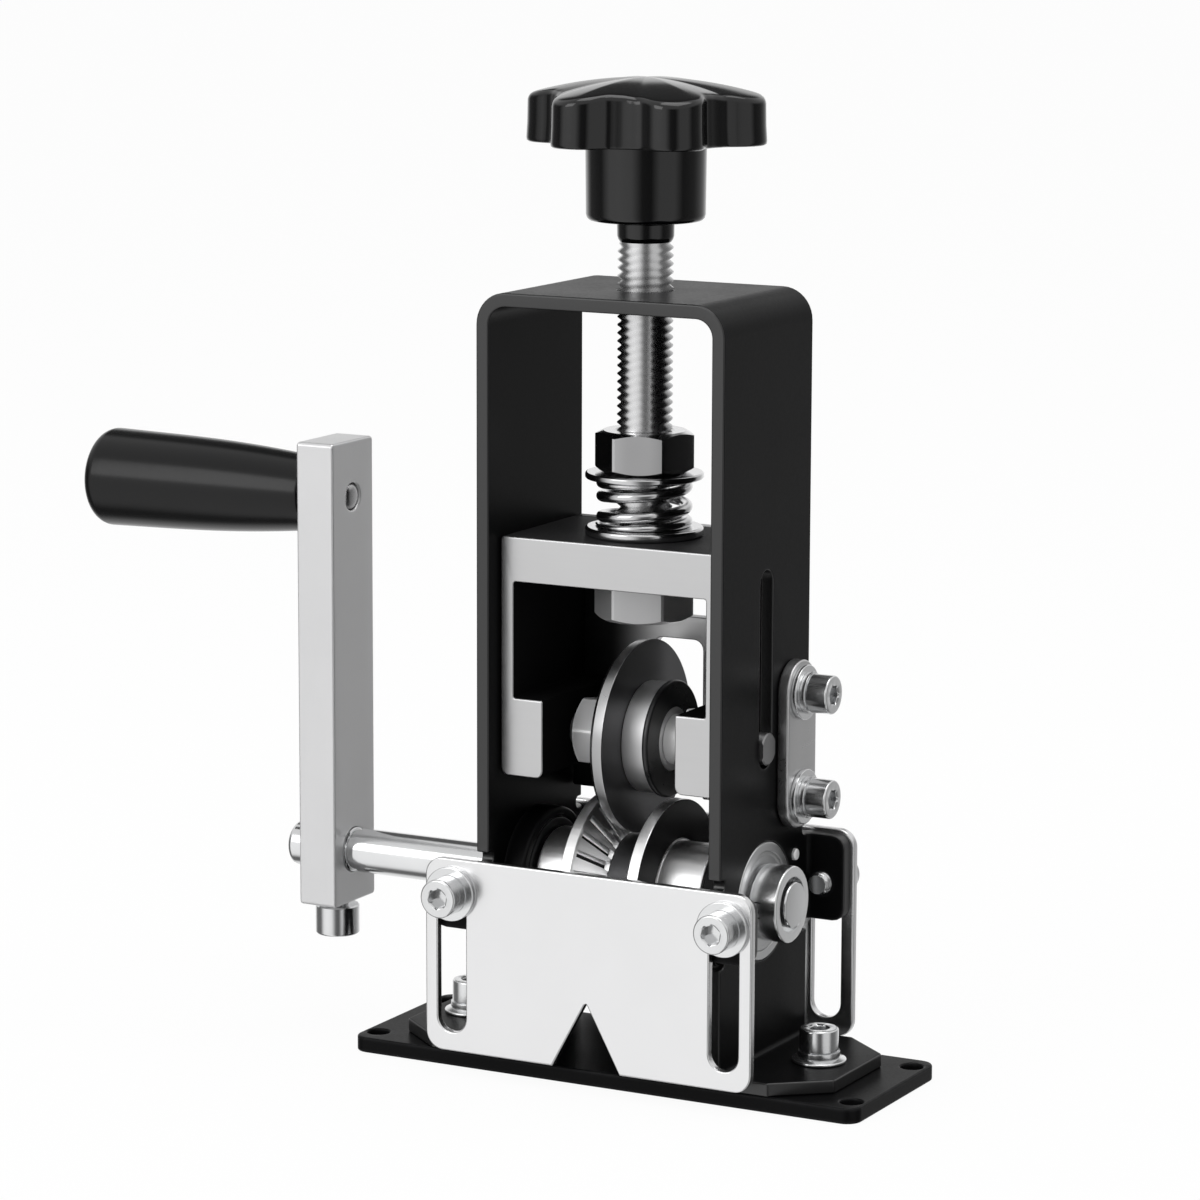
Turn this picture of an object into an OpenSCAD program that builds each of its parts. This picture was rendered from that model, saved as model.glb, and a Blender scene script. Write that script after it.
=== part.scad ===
// Hand crank wire stripper: a bent steel frame on a base plate, a pair of toothed wheels
// turned by a crank, and a round blade that a star knob lowers into the wheels' groove.
// Millimetres. X runs along the drive shaft, Y to the back, Z up. The origin is the
// middle of the base plate's underside.

/* [Base plate] */
// Length of the base plate along the shaft
base_w = 123; // [110:1:140]
// Depth of the base plate, front to back
base_d = 42.6; // [40:0.1:46]
// Thickness of the base plate
base_t = 3.5; // [3:0.5:6]
// Radius of the base plate's corners
base_corner_r = 3.5; // [1:0.5:6]
// Diameter of the four holes for wood screws
base_hole_d = 5; // [4:0.1:6]
// Distance between the wood screw holes along the base
base_hole_w = 116; // [112:1:118]
// Distance between the wood screw holes front to back
base_hole_depth = 31; // [28:1:34]

/* [Frame] */
// Width over the frame's two walls
frame_w = 59.2; // [58:0.1:62]
// Height of the frame's top above the bench
frame_top = 171; // [165:1:190]
// Thickness of the frame's sheet
sheet_t = 3; // [2.5:0.5:3.5]
// Inner radius of the two top bends
frame_bend_r = 4; // [2:0.5:6]
// Distance from the middle to the end of each foot
foot_reach = 52.4; // [50:0.1:54]
// Distance from the middle to where each foot starts to taper
foot_taper_start = 41; // [39:0.5:45]
// Depth of each foot at its end
foot_end_d = 24; // [18:1:30]
// Width of the slot in each wall that guides the blade axle
axle_slot_w = 6; // [6:0.1:6.4]
// Height of the top of the axle slot
axle_slot_top = 112.6; // [110:0.1:116]
// Distance from the middle to the end of each ear
ear_reach = 38.6; // [37:0.1:40]
// Height of the ears' lower edge
ear_bottom = 32; // [30:0.5:34]
// Height of the front ears' upper edge
front_ear_top = 46.5; // [45:0.5:48]
// Height of the back ears' upper edge
back_ear_top = 51.2; // [45:0.1:51.5]

/* [Guard plates] */
// Width of the front and back plates
plate_w = 79; // [78:0.1:82]
// Thickness of the front and back plates
plate_t = 2; // [1.5:0.5:3]
// Height of the lower edge of both plates
plate_bottom = 5; // [4.5:0.5:7]
// Height of the front plate's upper edge
front_plate_top = 48; // [47:0.5:52]
// Height of the back plate's upper edge
back_plate_top = 52; // [47:0.5:52]
// Radius of the plates' corners
plate_corner_r = 4; // [1:0.5:5]
// Width of the slots that the plates slide on
plate_slot_w = 7; // [6:0.1:8]
// Height of the lower end of the slots
plate_slot_bottom = 9.2; // [8:0.1:12]
// Width of the V notch at its foot
notch_w = 16.4; // [10:0.1:20]
// Height of the V notch
notch_h = 15; // [8:0.5:18]

/* [Drive] */
// Height of the drive shaft's axis
shaft_z = 40.3; // [39:0.1:42]
// Diameter of the drive shaft
shaft_d = 10; // [10:1:10]
// Distance from the middle to the shaft's crank end
shaft_crank_end = 88.5; // [86:0.5:92]
// Distance from the middle to the shaft's other end
shaft_free_end = 37.1; // [36.4:0.1:37.4]
// Outer radius of the toothed wheels
wheel_r = 20; // [19:0.5:20.5]
// Place along the shaft of the groove between the wheels
groove_x = -0.8; // [-2:0.1:0]
// Half of the groove's width at the wheels' rims
groove_half_w = 6.9; // [6:0.1:8]
// Radius at the bottom of the groove
groove_bottom_r = 11.5; // [11.2:0.1:12.4]
// Width of each wheel's plain rim
rim_w = 2.6; // [2:0.1:3]
// Diameter of each wheel's hub
wheel_hub_d = 22; // [18:1:24]
// Teeth on each wheel
tooth_count = 26; // [16:1:28]

/* [Crank] */
// Width of the crank arm's flat bar
arm_w = 17.5; // [16:0.5:20]
// Thickness of the crank arm
arm_t = 9.4; // [8:0.1:10]
// Distance from the middle to the arm's inner face
arm_x = 73.2; // [70:0.1:76]
// Height of the arm's lower end
arm_bottom = 28.3; // [27:0.1:30]
// Height of the arm's upper end
arm_top = 133.5; // [128:0.5:140]
// Height of the grip's axis when the crank stands up
grip_z = 120.8; // [118:0.5:124]
// Length of the grip
grip_l = 56; // [50:1:70]
// Largest diameter of the grip, at its free end
grip_d = 22.3; // [20:0.1:24]
// Diameter of the grip beside the arm
grip_neck_d = 16.8; // [16:0.1:19]

/* [Blade] */
// Height of the blade axle at the lowest setting
axle_z = 73.8; // [73:0.1:75]
// Radius of the blade
blade_r = 21.2; // [19:0.1:21.4]
// Thickness of the blade
blade_t = 3.4; // [2:0.1:3.6]
// Diameter of the bore in the blade
blade_bore_d = 22; // [20:1:24]
// Diameter of the flanges beside the blade
flange_d = 25.6; // [24:0.1:28]
// Length of the full turned hub
hub_l = 11.4; // [11:0.1:11.4]

/* [Blade holder] */
// Width over the holder's legs
holder_w = 52.6; // [52:0.1:52.8]
// Depth of the holder, front to back
holder_d = 33; // [28:1:35]
// Height of the holder's top
holder_top = 118; // [116:0.5:120]
// Height of the underside of the holder's bridge
bridge_bottom = 108.2; // [106:0.1:110]
// Thickness of the holder's legs
leg_t = 3.1; // [2.5:0.1:4]
// Distance from the middle to the inner face of each foot block
block_x = 16; // [16:0.1:17]
// Height of the foot blocks' underside
block_bottom = 65.5; // [64:0.5:67]
// Height of the foot blocks' top
block_top = 82.7; // [81:0.1:84]
// Thickness of the blade guard behind the holder
guard_t = 3; // [2:0.5:3]
// Height of the guard's lower end
guard_bottom = 57; // [56:1:62]
// Width of the guard's slot for the blade
guard_slot_w = 12; // [9:0.1:13]

/* [Adjusting screw] */
// Diameter of the adjusting bolt
bolt_d = 12; // [12:1:12]
// Outer diameter of the spring
spring_d = 20.8; // [19:0.1:22]
// Diameter of the spring's wire
wire_d = 2.4; // [2:0.1:2.5]
// Rise of the spring in one open turn
spring_pitch = 4.4; // [4.3:0.1:4.8]
// Diameter of the washers above and below the spring
spring_washer_d = 25.6; // [24:0.2:28]
// Thickness of the washer under the spring
lower_washer_t = 2; // [1.5:0.5:2.5]
// Height of the space that holds the spring
spring_h = 10.4; // [10:0.1:11]
// Thickness of the washer over the spring
upper_washer_t = 1.4; // [1:0.1:2]
// Height of the nut over the spring
nut_h = 9; // [8.5:0.1:10.8]
// Width across the flats of the nut and the bolt head
hex_af = 19; // [18:0.1:19]

/* [Knob] */
// Diameter over the knob's lobes
knob_d = 51.8; // [48:0.1:56]
// Height of the underside of the knob's lobes
knob_bottom = 202.3; // [200:0.1:206]
// Height of the middle of the knob's top
knob_top = 216.3; // [214:0.1:220]
// Height of the knob's top over its rim
knob_rim_top = 212.5; // [210:0.1:213.5]
// Diameter of the knob's hub
knob_hub_d = 25.6; // [24:0.1:28]
// Height of the hub's lower end
knob_hub_bottom = 185.8; // [183:0.1:188]
// Height of the lower end of the neck under the hub
knob_neck_bottom = 181.3; // [180:0.1:183]
// Angle of the first lobe from the X axis
knob_angle = 14; // [0:1:59]

/* [Hidden] */
$fn = 64;
EPS = 0.01;

// Clearances: a running fit, a fixed fit, and a gap between faces that slide
running_gap = 0.05;
fixed_gap = 0.02;
slide_gap = 0.05;

// Five millimetre cap screws and their washers
m5_d = 5;
m5_head_d = 8.5;
m5_head_h = 5;
m5_socket_af = 4;
m5_socket_depth = 2.6;
m5_washer_d = 12;
m5_washer_t = 1.2;
m5_lock_washer_d = 9.2;
m5_lock_washer_t = 1.3;
m5_clearance_d = 5.4;
head_chamfer = 0.4;
split_turn = 35;
split_w = 0.8;

// Frame and base
wall_out = frame_w / 2;
wall_in = wall_out - sheet_t;
depth_half = base_d / 2;
foot_bend_r = 1;
foot_top = base_t + sheet_t;
foot_bend_z = foot_top + foot_bend_r;
foot_screw_short = 0.5;
foot_screw_x = 43;
ear_bend_x = wall_out + foot_bend_r;
ear_bend_y = depth_half - foot_bend_r;
ear_out = depth_half + sheet_t;
ear_tops = [back_ear_top, front_ear_top];
ear_corner_r = 3;
relief_h = 2.4;
relief_depth = 2.4;
axle_slot_drop = 4.3;
axle_slot_bottom = axle_z - axle_slot_drop;
bearing_d = 26;
bearing_t = 8;
bearing_boss_d = 30.4;
bolt_hole_d = bolt_d + 2 * running_gap;

// Guard plates and their screws
plate_in = ear_out + slide_gap;
plate_out = plate_in + plate_t;
plate_screw_x = 33;
plate_screw_z = shaft_z;
plate_screw_reach = 2.3;
plate_screw_tip = depth_half - plate_screw_reach;

// Small pin in the right wall beside the bearing
wall_pin_d = 2.6;
wall_pin_y = 15;
wall_pin_z = 47.6;
wall_pin_proud = 0.7;

// Guide plate on the right wall
guide_t = 2.8;
guide_w = 14;
guide_h = 37;
guide_y = 12.3;
guide_z = 72.9;
guide_screw_gap = 23;
guide_screw_short = 0.2;

// Drive
groove_floor_half = 2.2;
cone_slope = (groove_half_w - groove_floor_half) / (wheel_r - groove_bottom_r);
wheel_hub_end = 20.2;
spacer_d = 14;
bearing_in = wall_out - bearing_t;
ring_groove_r = 9;
ball_d = 4.4;
ball_count = 8;
inner_ring_d = 14.4;
outer_ring_bore = 21.6;
seal_t = 0.8;
seal_inset = 0.4;
seal_gap = 0.2;
ball_play = 0.2;
cage_w = 1;
cage_t = 1.6;
collar_d = 16.7;
collar_x = 29.9;
collar_l = 6.4;
collar_recess_d = 12;
collar_recess = 2.4;
collar_grub_x = collar_x + 2;
grub_d = 4;
tooth_groove_w = 1.8;
tooth_start = 1.5;
tooth_cut_l = 20;
tooth_cut_h = 3;
neck_gap = 0.2;
neck_w = 2;
neck_d = 9;
grub_socket_af = 2;
grub_socket_depth = 1.6;
grub_sunk = 0.4;
tooth_groove_depth = 1.2;

// Crank
arm_mid_x = -(arm_x + arm_t / 2);
arm_corner_r = 0.8;
spindle_d = 8;
spindle_tail_d = 6;
spindle_tail_sunk = 0.4;
spindle_short = 8;
grip_gap = 0.5;
grip_end_r = 3;
grip_bulge = 0.9;
grip_edge = 0.6;
grip_steps = 8;
end_arc_step = 22.5;
end_play = 1;
grip_start = arm_x + arm_t + grip_gap;
grip_end = grip_start + grip_l;
spindle_end = grip_end - spindle_short;
clamp_gap = 1.1;
clamp_d = 6;
clamp_head_h = 6.8;
clamp_head_d = 10;
clamp_socket_af = 5;
clamp_socket_depth = 3;

// Blade and its axle
axle_d = 8;
axle_tip_w = 5.8;
axle_tip_h = 7;
axle_tip_end = 30.4;
blade_x0 = groove_x - blade_t / 2;
blade_x1 = groove_x + blade_t / 2;
flange_t = 1.4;
flange_edge = 0.4;
hub_x0 = blade_x0 - flange_t;
hub_x1 = hub_x0 + hub_l;
hub_core_d = 14;
hub_ring_d = 24.4;
hub_ring_end = hub_x1 - flange_t;
axle_spacer_d = 11;
left_spacer_t = 3.1;
right_spacer_t = 3.85;
axle_nut_af = 14;
axle_nut_t = 7;
axle_jam_nut_t = 4.5;
land_w = 2.4;
land_drop = 0.3;
bevel_h = 1.2;

// Blade holder and guard
holder_y = holder_d / 2;
block_corner_r = 1.7;
guard_window_bottom = 97.7;
guard_window_half = 19;
guard_slot_top = 92.5;
guard_screw_x = 21;
guard_screw_low = 74;
guard_screw_high = 113;
guard_screw_d = 3;
guard_screw_head_d = 5.6;
guard_screw_head_t = 1.6;
guard_socket_af = 2;
guard_socket_depth = 1;
guard_screw_grip = 6;
guard_hole_play = 0.2;
guard_hole_spare = 1;
guard_slot_r = 2;
body_short = 0.1;

// Adjusting screw: heights from the holder's top upwards
hex_turn = 19;
spring_bottom = holder_top + lower_washer_t;
spring_top = spring_bottom + spring_h;
nut_bottom = spring_top + upper_washer_t;
bolt_head_h = 8.4;
bolt_end = knob_bottom;
bolt_end_d = 10;
hex_crown = 0.97;
crown_slope = 4;
end_overlap = 1;

// Spring: closed end turns ground thin towards their tips, open turns between them,
// and a straight end of one wire width
spring_mid_r = (spring_d - wire_d) / 2;
spring_start = 215;
spring_rings = 8;
closed_turns = 0.742;
ground_turns = 0.4;
ground_share = 0.3;
tube_sides = 6;
wire_drop = wire_d / 2 * sin(60);
spring_rise = spring_h - 2 * wire_drop;
spring_open_turns = spring_rise / spring_pitch;
spring_steps = floor((spring_open_turns + 2 * closed_turns) * spring_rings);
spring_turns = spring_steps / spring_rings;
spring_flat_turns = (spring_turns - spring_open_turns) / 2;

// Knob
lobe_count = 6;
lobe_r = 6.7;
valley_r = 5.6;
knob_core_r = 20.5;
valley_dist = 25.6;
knob_dome_r = (pow(knob_d / 2, 2) + pow(knob_top - knob_rim_top, 2)) / (2 * (knob_top - knob_rim_top));
knob_neck_d = 12.3;
knob_chamfer = 1;
knob_bore_play = 0.2;

// A round hole or bar along X, from one place to another
module bar_x(d, x0, x1, sides = $fn) {
    translate([x0, 0, 0])
        rotate([0, 90, 0])
            cylinder(d = d, h = x1 - x0, $fn = sides);
}

// A six-sided bar along Z, turned as the tightened nut stands
module hex_z(af, h) {
    rotate([0, 0, hex_turn])
        cylinder(d = af / cos(30), h = h, $fn = 6);
}

// A washer standing on z = 0
module washer(d, bore, t) {
    difference() {
        cylinder(d = d, h = t);
        translate([0, 0, -EPS])
            cylinder(d = bore, h = t + 2 * EPS);
    }
}

// A split washer with its narrow cut
module lock_washer(d, bore, t) {
    difference() {
        washer(d, bore, t);
        rotate([0, 0, split_turn])
            translate([0, -split_w / 2, -EPS])
                cube([d, split_w, t + 2 * EPS]);
    }
}

// A cap screw whose head stands on z = 0 and whose shank hangs below
module cap_screw(d, head_d, head_h, socket_af, socket_depth, shank) {
    difference() {
        union() {
            cylinder(d = head_d, h = head_h - head_chamfer);
            translate([0, 0, head_h - head_chamfer])
                cylinder(d1 = head_d, d2 = head_d - 2 * head_chamfer, h = head_chamfer);
        }
        translate([0, 0, head_h - socket_depth])
            hex_z(socket_af, socket_depth + EPS);
    }
    translate([0, 0, -shank])
        cylinder(d = d, h = shank);
}

module m5_screw(shank) {
    cap_screw(m5_d, m5_head_d, m5_head_h, m5_socket_af, m5_socket_depth, shank);
}

// A rectangle with round corners, its middle at the origin
module round_rect(w, h, r) {
    square([w - 2 * r, h], center = true);
    square([w, h - 2 * r], center = true);
    for (sx = [-1, 1])
        for (sy = [-1, 1])
            translate([sx * (w / 2 - r), sy * (h / 2 - r)])
                circle(r);
}

// An upright slot with round ends
module slot_shape(w, z0, z1) {
    translate([-w / 2, z0 + w / 2])
        square([w, z1 - z0 - w]);
    for (z = [z0 + w / 2, z1 - w / 2])
        translate([0, z])
            circle(d = w);
}

// A shape with a flat foot and two round shoulders
module arch_shape(half_w, z0, z1, r) {
    translate([-half_w, z0])
        square([2 * half_w, z1 - r - z0]);
    translate([-half_w + r, z0])
        square([2 * (half_w - r), z1 - z0]);
    for (s = [-1, 1])
        translate([s * (half_w - r), z1 - r])
            circle(r);
}

// A flat shape drawn in X and Z, pushed from y0 to y1
module along_y(y0, y1) {
    translate([0, y1, 0])
        rotate([90, 0, 0])
            linear_extrude(y1 - y0)
                children();
}

// A flat shape drawn in Y and Z, pushed from x0 to x1
module along_x(x0, x1) {
    translate([x0, 0, 0])
        rotate([90, 0, 90])
            linear_extrude(x1 - x0)
                children();
}

module base_plate() {
    color("#1b1c1e")
        difference() {
            linear_extrude(base_t)
                round_rect(base_w, base_d, base_corner_r);
            for (sx = [-1, 1])
                for (sy = [-1, 1])
                    translate([sx * base_hole_w / 2, sy * base_hole_depth / 2, -EPS])
                        cylinder(d = base_hole_d, h = base_t + 2 * EPS);
            for (sx = [-1, 1])
                translate([sx * foot_screw_x, 0, -EPS])
                    cylinder(d = m5_d + 2 * fixed_gap, h = base_t + 2 * EPS);
        }
}

// A quarter of a bent sheet, seen along the bend
module bend_quarter(turn) {
    rotate(turn)
        intersection() {
            difference() {
                circle(foot_bend_r + sheet_t);
                circle(foot_bend_r);
            }
            square(foot_bend_r + sheet_t);
        }
}

// The frame seen from the front: two walls, the top and the feet
module frame_outline() {
    difference() {
        arch_shape(wall_out, foot_bend_z, frame_top, frame_bend_r + sheet_t);
        arch_shape(wall_in, foot_bend_z - EPS, frame_top - sheet_t, frame_bend_r);
    }
    for (s = [0, 1])
        mirror([s, 0])
            union() {
                translate([wall_out + foot_bend_r, foot_bend_z])
                    bend_quarter(180);
                translate([wall_out + foot_bend_r, base_t])
                    square([foot_reach - wall_out - foot_bend_r, sheet_t]);
            }
}

// The corner that tapers each foot, to be cut away
module foot_taper() {
    translate([0, 0, base_t - EPS])
        linear_extrude(sheet_t + 2 * EPS)
            polygon([
                [foot_taper_start, depth_half],
                [foot_reach, foot_end_d / 2],
                [foot_reach + EPS, foot_end_d / 2],
                [foot_reach + EPS, depth_half + EPS],
                [foot_taper_start, depth_half + EPS]
            ]);
}

// An ear bent outwards from a wall's edge
module ear(top) {
    intersection() {
        translate([0, 0, ear_bottom])
            linear_extrude(top - ear_bottom)
                union() {
                    translate([ear_bend_x, ear_bend_y])
                        bend_quarter(90);
                    translate([ear_bend_x, depth_half])
                        square([ear_reach - ear_bend_x, sheet_t]);
                }
        along_y(0, ear_out + EPS)
            translate([0, (ear_bottom + top) / 2])
                round_rect(2 * ear_reach, top - ear_bottom, ear_corner_r);
    }
}

// The notches over and under an ear, and the strip of wall that the ear was bent from
module ear_relief(top) {
    translate([wall_in - EPS, ear_bend_y, ear_bottom])
        cube([sheet_t + 2 * EPS, foot_bend_r + EPS, top - ear_bottom]);
    for (z = [ear_bottom - relief_h / 2, top + relief_h / 2])
        translate([0, depth_half - relief_depth + relief_h / 2, z]) {
            bar_x(relief_h, wall_in - EPS, wall_out + EPS);
            translate([wall_in - EPS, 0, -relief_h / 2])
                cube([sheet_t + 2 * EPS, relief_depth, relief_h]);
        }
}

module frame() {
    color("#1b1c1e")
        difference() {
            union() {
                difference() {
                    along_y(-depth_half, depth_half)
                        frame_outline();
                    for (mx = [0, 1])
                        for (my = [0, 1])
                            mirror([mx, 0, 0])
                                mirror([0, my, 0]) {
                                    foot_taper();
                                    ear_relief(ear_tops[my]);
                                }
                }
                for (mx = [0, 1])
                    for (my = [0, 1])
                        mirror([mx, 0, 0])
                            mirror([0, my, 0])
                                ear(ear_tops[my]);
            }
            along_x(-wall_out - EPS, wall_out + EPS)
                slot_shape(axle_slot_w, axle_slot_bottom, axle_slot_top);
            translate([0, 0, shaft_z])
                bar_x(bearing_d, -wall_out - EPS, wall_out + EPS);
            translate([0, 0, frame_top - sheet_t - EPS])
                cylinder(d = bolt_hole_d, h = sheet_t + 2 * EPS);
            for (sx = [-1, 1])
                translate([sx * foot_screw_x, 0, base_t - EPS])
                    cylinder(d = m5_clearance_d, h = sheet_t + 2 * EPS);
            for (sx = [-1, 1])
                translate([sx * plate_screw_x, 0, plate_screw_z])
                    rotate([90, 0, 0])
                        cylinder(d = m5_d + 2 * fixed_gap, h = 2 * (ear_out + EPS), center = true);
            for (s = [-1, 1])
                translate([0, guide_y, guide_z + s * guide_screw_gap / 2])
                    bar_x(m5_d + 2 * fixed_gap, wall_in - EPS, wall_out + EPS);
            translate([0, wall_pin_y, wall_pin_z])
                bar_x(wall_pin_d + 2 * fixed_gap, wall_in - EPS, wall_out + EPS);
        }
}

// The rings welded inside the walls that hold the bearings' inner halves
module bearing_bosses() {
    color("#1b1c1e")
        translate([0, 0, shaft_z])
            for (s = [0, 1])
                mirror([s, 0, 0])
                    difference() {
                        bar_x(bearing_boss_d, bearing_in, wall_in);
                        bar_x(bearing_d, bearing_in - EPS, wall_in + EPS);
                    }
}

// Puts its children on both feet
module on_feet(z) {
    for (sx = [-1, 1])
        translate([sx * foot_screw_x, 0, z])
            children();
}

module foot_washers() {
    color("#c9cbcd")
        on_feet(foot_top)
            washer(m5_washer_d, m5_clearance_d, m5_washer_t);
}

module foot_lock_washers() {
    color("#b9bbbd")
        on_feet(foot_top + m5_washer_t)
            lock_washer(m5_lock_washer_d, m5_clearance_d, m5_lock_washer_t);
}

module foot_screws() {
    stack = m5_washer_t + m5_lock_washer_t;
    color("#d2d4d6")
        on_feet(foot_top + stack)
            m5_screw(stack + sheet_t + base_t - foot_screw_short);
}

// A guard plate between y0 and y1, open at its V notch and its two slots
module guard_plate(y0, y1, top) {
    color("#e2e3e4")
        along_y(y0, y1)
            difference() {
                translate([0, (plate_bottom + top) / 2])
                    round_rect(plate_w, top - plate_bottom, plate_corner_r);
                for (sx = [-1, 1])
                    translate([sx * plate_screw_x, 0])
                        slot_shape(plate_slot_w, plate_slot_bottom, plate_screw_z + plate_slot_w / 2);
                polygon([
                    [-notch_w / 2, plate_bottom - EPS],
                    [notch_w / 2, plate_bottom - EPS],
                    [0, plate_bottom + notch_h]
                ]);
            }
}

module front_plate() {
    guard_plate(-plate_out, -plate_in, front_plate_top);
}

module back_plate() {
    guard_plate(plate_in, plate_out, back_plate_top);
}

// Puts its children on the four ears, with Z turned away from the frame
module on_ears(y) {
    for (sx = [-1, 1])
        for (sy = [-1, 1])
            translate([sx * plate_screw_x, sy * y, plate_screw_z])
                rotate([-sy * 90, 0, 0])
                    children();
}

module plate_washers() {
    color("#d6d8da")
        on_ears(plate_out + slide_gap)
            washer(m5_washer_d, m5_clearance_d, m5_washer_t);
}

module plate_screws() {
    seat = plate_out + slide_gap + m5_washer_t;
    color("#d2d4d6")
        on_ears(seat)
            m5_screw(seat - plate_screw_tip);
}

// Puts its children on the guide plate, with Z turned away from the wall
module on_guide(x) {
    for (s = [-1, 1])
        translate([x, guide_y, guide_z + s * guide_screw_gap / 2])
            rotate([0, 90, 0])
                children();
}

module wall_pin() {
    color("#c9cbcd")
        translate([0, wall_pin_y, wall_pin_z])
            bar_x(wall_pin_d, wall_in, wall_out + wall_pin_proud);
}

module guide_plate() {
    color("#a9abad")
        difference() {
            along_x(wall_out, wall_out + guide_t)
                translate([guide_y, 0])
                    slot_shape(guide_w, guide_z - guide_h / 2, guide_z + guide_h / 2);
            on_guide(wall_out - EPS)
                cylinder(d = m5_clearance_d, h = guide_t + 2 * EPS);
        }
}

module guide_washers() {
    color("#c9cbcd")
        on_guide(wall_out + guide_t)
            washer(m5_washer_d, m5_clearance_d, m5_washer_t);
}

module guide_lock_washers() {
    color("#b9bbbd")
        on_guide(wall_out + guide_t + m5_washer_t)
            lock_washer(m5_lock_washer_d, m5_clearance_d, m5_lock_washer_t);
}

module guide_screws() {
    stack = guide_t + m5_washer_t + m5_lock_washer_t;
    color("#d2d4d6")
        on_guide(wall_out + stack)
            m5_screw(stack + sheet_t - guide_screw_short);
}

// Puts its children on the shaft's axis, at the bearing on one side
module at_bearing(side) {
    translate([0, 0, shaft_z])
        mirror([side < 0 ? 1 : 0, 0, 0])
            translate([bearing_in, 0, 0])
                children();
}

// A ring round X with a round groove for the balls
module race(outer, bore) {
    rotate([0, 90, 0])
        rotate_extrude()
            difference() {
                translate([bore / 2, 0])
                    square([(outer - bore) / 2, bearing_t]);
                translate([ring_groove_r, bearing_t / 2])
                    circle(d = ball_d + 2 * ball_play, $fn = 32);
            }
}

module bearing_outer(side) {
    color("#c4c6c8")
        at_bearing(side)
            race(bearing_d - 2 * fixed_gap, outer_ring_bore);
}

module bearing_inner(side) {
    color("#d0d2d4")
        at_bearing(side)
            race(inner_ring_d, shaft_d + 2 * fixed_gap);
}

module bearing_seals(side) {
    color("#8d9093")
        at_bearing(side)
            for (x = [seal_inset, bearing_t - seal_inset - seal_t])
                difference() {
                    bar_x(outer_ring_bore - 2 * fixed_gap, x, x + seal_t);
                    bar_x(inner_ring_d + 2 * seal_gap, x - EPS, x + seal_t + EPS);
                }
}

// Balls held by a thin ring that is drilled for them
module bearing_balls(side) {
    color("#d8dadc")
        at_bearing(side)
            union() {
                difference() {
                    bar_x(2 * ring_groove_r + cage_w, (bearing_t - cage_t) / 2, (bearing_t + cage_t) / 2);
                    bar_x(2 * ring_groove_r - cage_w, 0, bearing_t);
                }
                for (i = [0 : ball_count - 1])
                    rotate([i * 360 / ball_count, 0, 0])
                        translate([bearing_t / 2, 0, ring_groove_r])
                            sphere(d = ball_d, $fn = 24);
            }
}

module left_bearing_outer() {
    bearing_outer(-1);
}

module left_bearing_seals() {
    bearing_seals(-1);
}

module left_bearing_balls() {
    bearing_balls(-1);
}

module left_bearing_inner() {
    bearing_inner(-1);
}

module right_bearing_outer() {
    bearing_outer(1);
}

module right_bearing_seals() {
    bearing_seals(1);
}

module right_bearing_balls() {
    bearing_balls(1);
}

module right_bearing_inner() {
    bearing_inner(1);
}

module drive_shaft() {
    end_chamfer = 1;
    neck_x = -arm_x + neck_gap;
    color("#d6d8da")
        translate([0, 0, shaft_z])
            difference() {
                union() {
                    bar_x(shaft_d, -shaft_crank_end + end_chamfer, shaft_free_end - end_chamfer);
                    translate([shaft_free_end - end_chamfer, 0, 0])
                        rotate([0, 90, 0])
                            cylinder(d1 = shaft_d, d2 = shaft_d - end_chamfer, h = end_chamfer);
                    translate([-shaft_crank_end + end_chamfer, 0, 0])
                        rotate([0, -90, 0])
                            cylinder(d1 = shaft_d, d2 = shaft_d - 2 * end_chamfer, h = end_chamfer);
                }
                difference() {
                    bar_x(shaft_d + EPS, neck_x, neck_x + neck_w);
                    bar_x(neck_d, neck_x - EPS, neck_x + neck_w + EPS);
                }
            }
}

// Half of the wheel pair, on the +X side of the groove
module wheel() {
    rim_end = groove_half_w + rim_w;
    difference() {
        rotate([0, 90, 0])
            rotate_extrude()
                polygon([
                    [shaft_d / 2 + fixed_gap, groove_floor_half],
                    [groove_bottom_r, groove_floor_half],
                    [wheel_r, groove_half_w],
                    [wheel_r, rim_end],
                    [wheel_hub_d / 2, rim_end],
                    [wheel_hub_d / 2, wheel_hub_end],
                    [shaft_d / 2 + fixed_gap, wheel_hub_end]
                ]);
        for (i = [0 : tooth_count - 1])
            rotate([i * 360 / tooth_count, 0, 0])
                translate([groove_floor_half, 0, groove_bottom_r])
                    rotate([0, atan(cone_slope) - 90, 0])
                        translate([tooth_start, -tooth_groove_w / 2, -tooth_groove_depth])
                            cube([tooth_cut_l, tooth_groove_w, tooth_cut_h]);
        translate([(rim_end + wheel_hub_end) / 2, 0, 0])
            cylinder(d = grub_d + 2 * fixed_gap, h = wheel_hub_d);
    }
}

// Puts its children on the shaft's axis, facing away from the groove
module at_groove(side) {
    translate([groove_x, 0, shaft_z])
        mirror([side < 0 ? 1 : 0, 0, 0])
            children();
}

module left_wheel() {
    color("#8b8e91")
        at_groove(-1)
            wheel();
}

module right_wheel() {
    color("#8b8e91")
        at_groove(1)
            wheel();
}

// The ring between the wheels that makes the floor of the groove
module groove_ring() {
    color("#3a3c3f")
        translate([groove_x, 0, shaft_z])
            difference() {
                bar_x(2 * groove_bottom_r, -groove_floor_half, groove_floor_half);
                bar_x(shaft_d + 2 * fixed_gap, -groove_floor_half - EPS, groove_floor_half + EPS);
            }
}

module wheel_spacers() {
    color("#c4c6c8")
        translate([0, 0, shaft_z])
            for (x = [[-bearing_in, groove_x - wheel_hub_end], [groove_x + wheel_hub_end, bearing_in]])
                difference() {
                    bar_x(spacer_d, x[0], x[1]);
                    bar_x(shaft_d + 2 * fixed_gap, x[0] - EPS, x[1] + EPS);
                }
}

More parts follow.
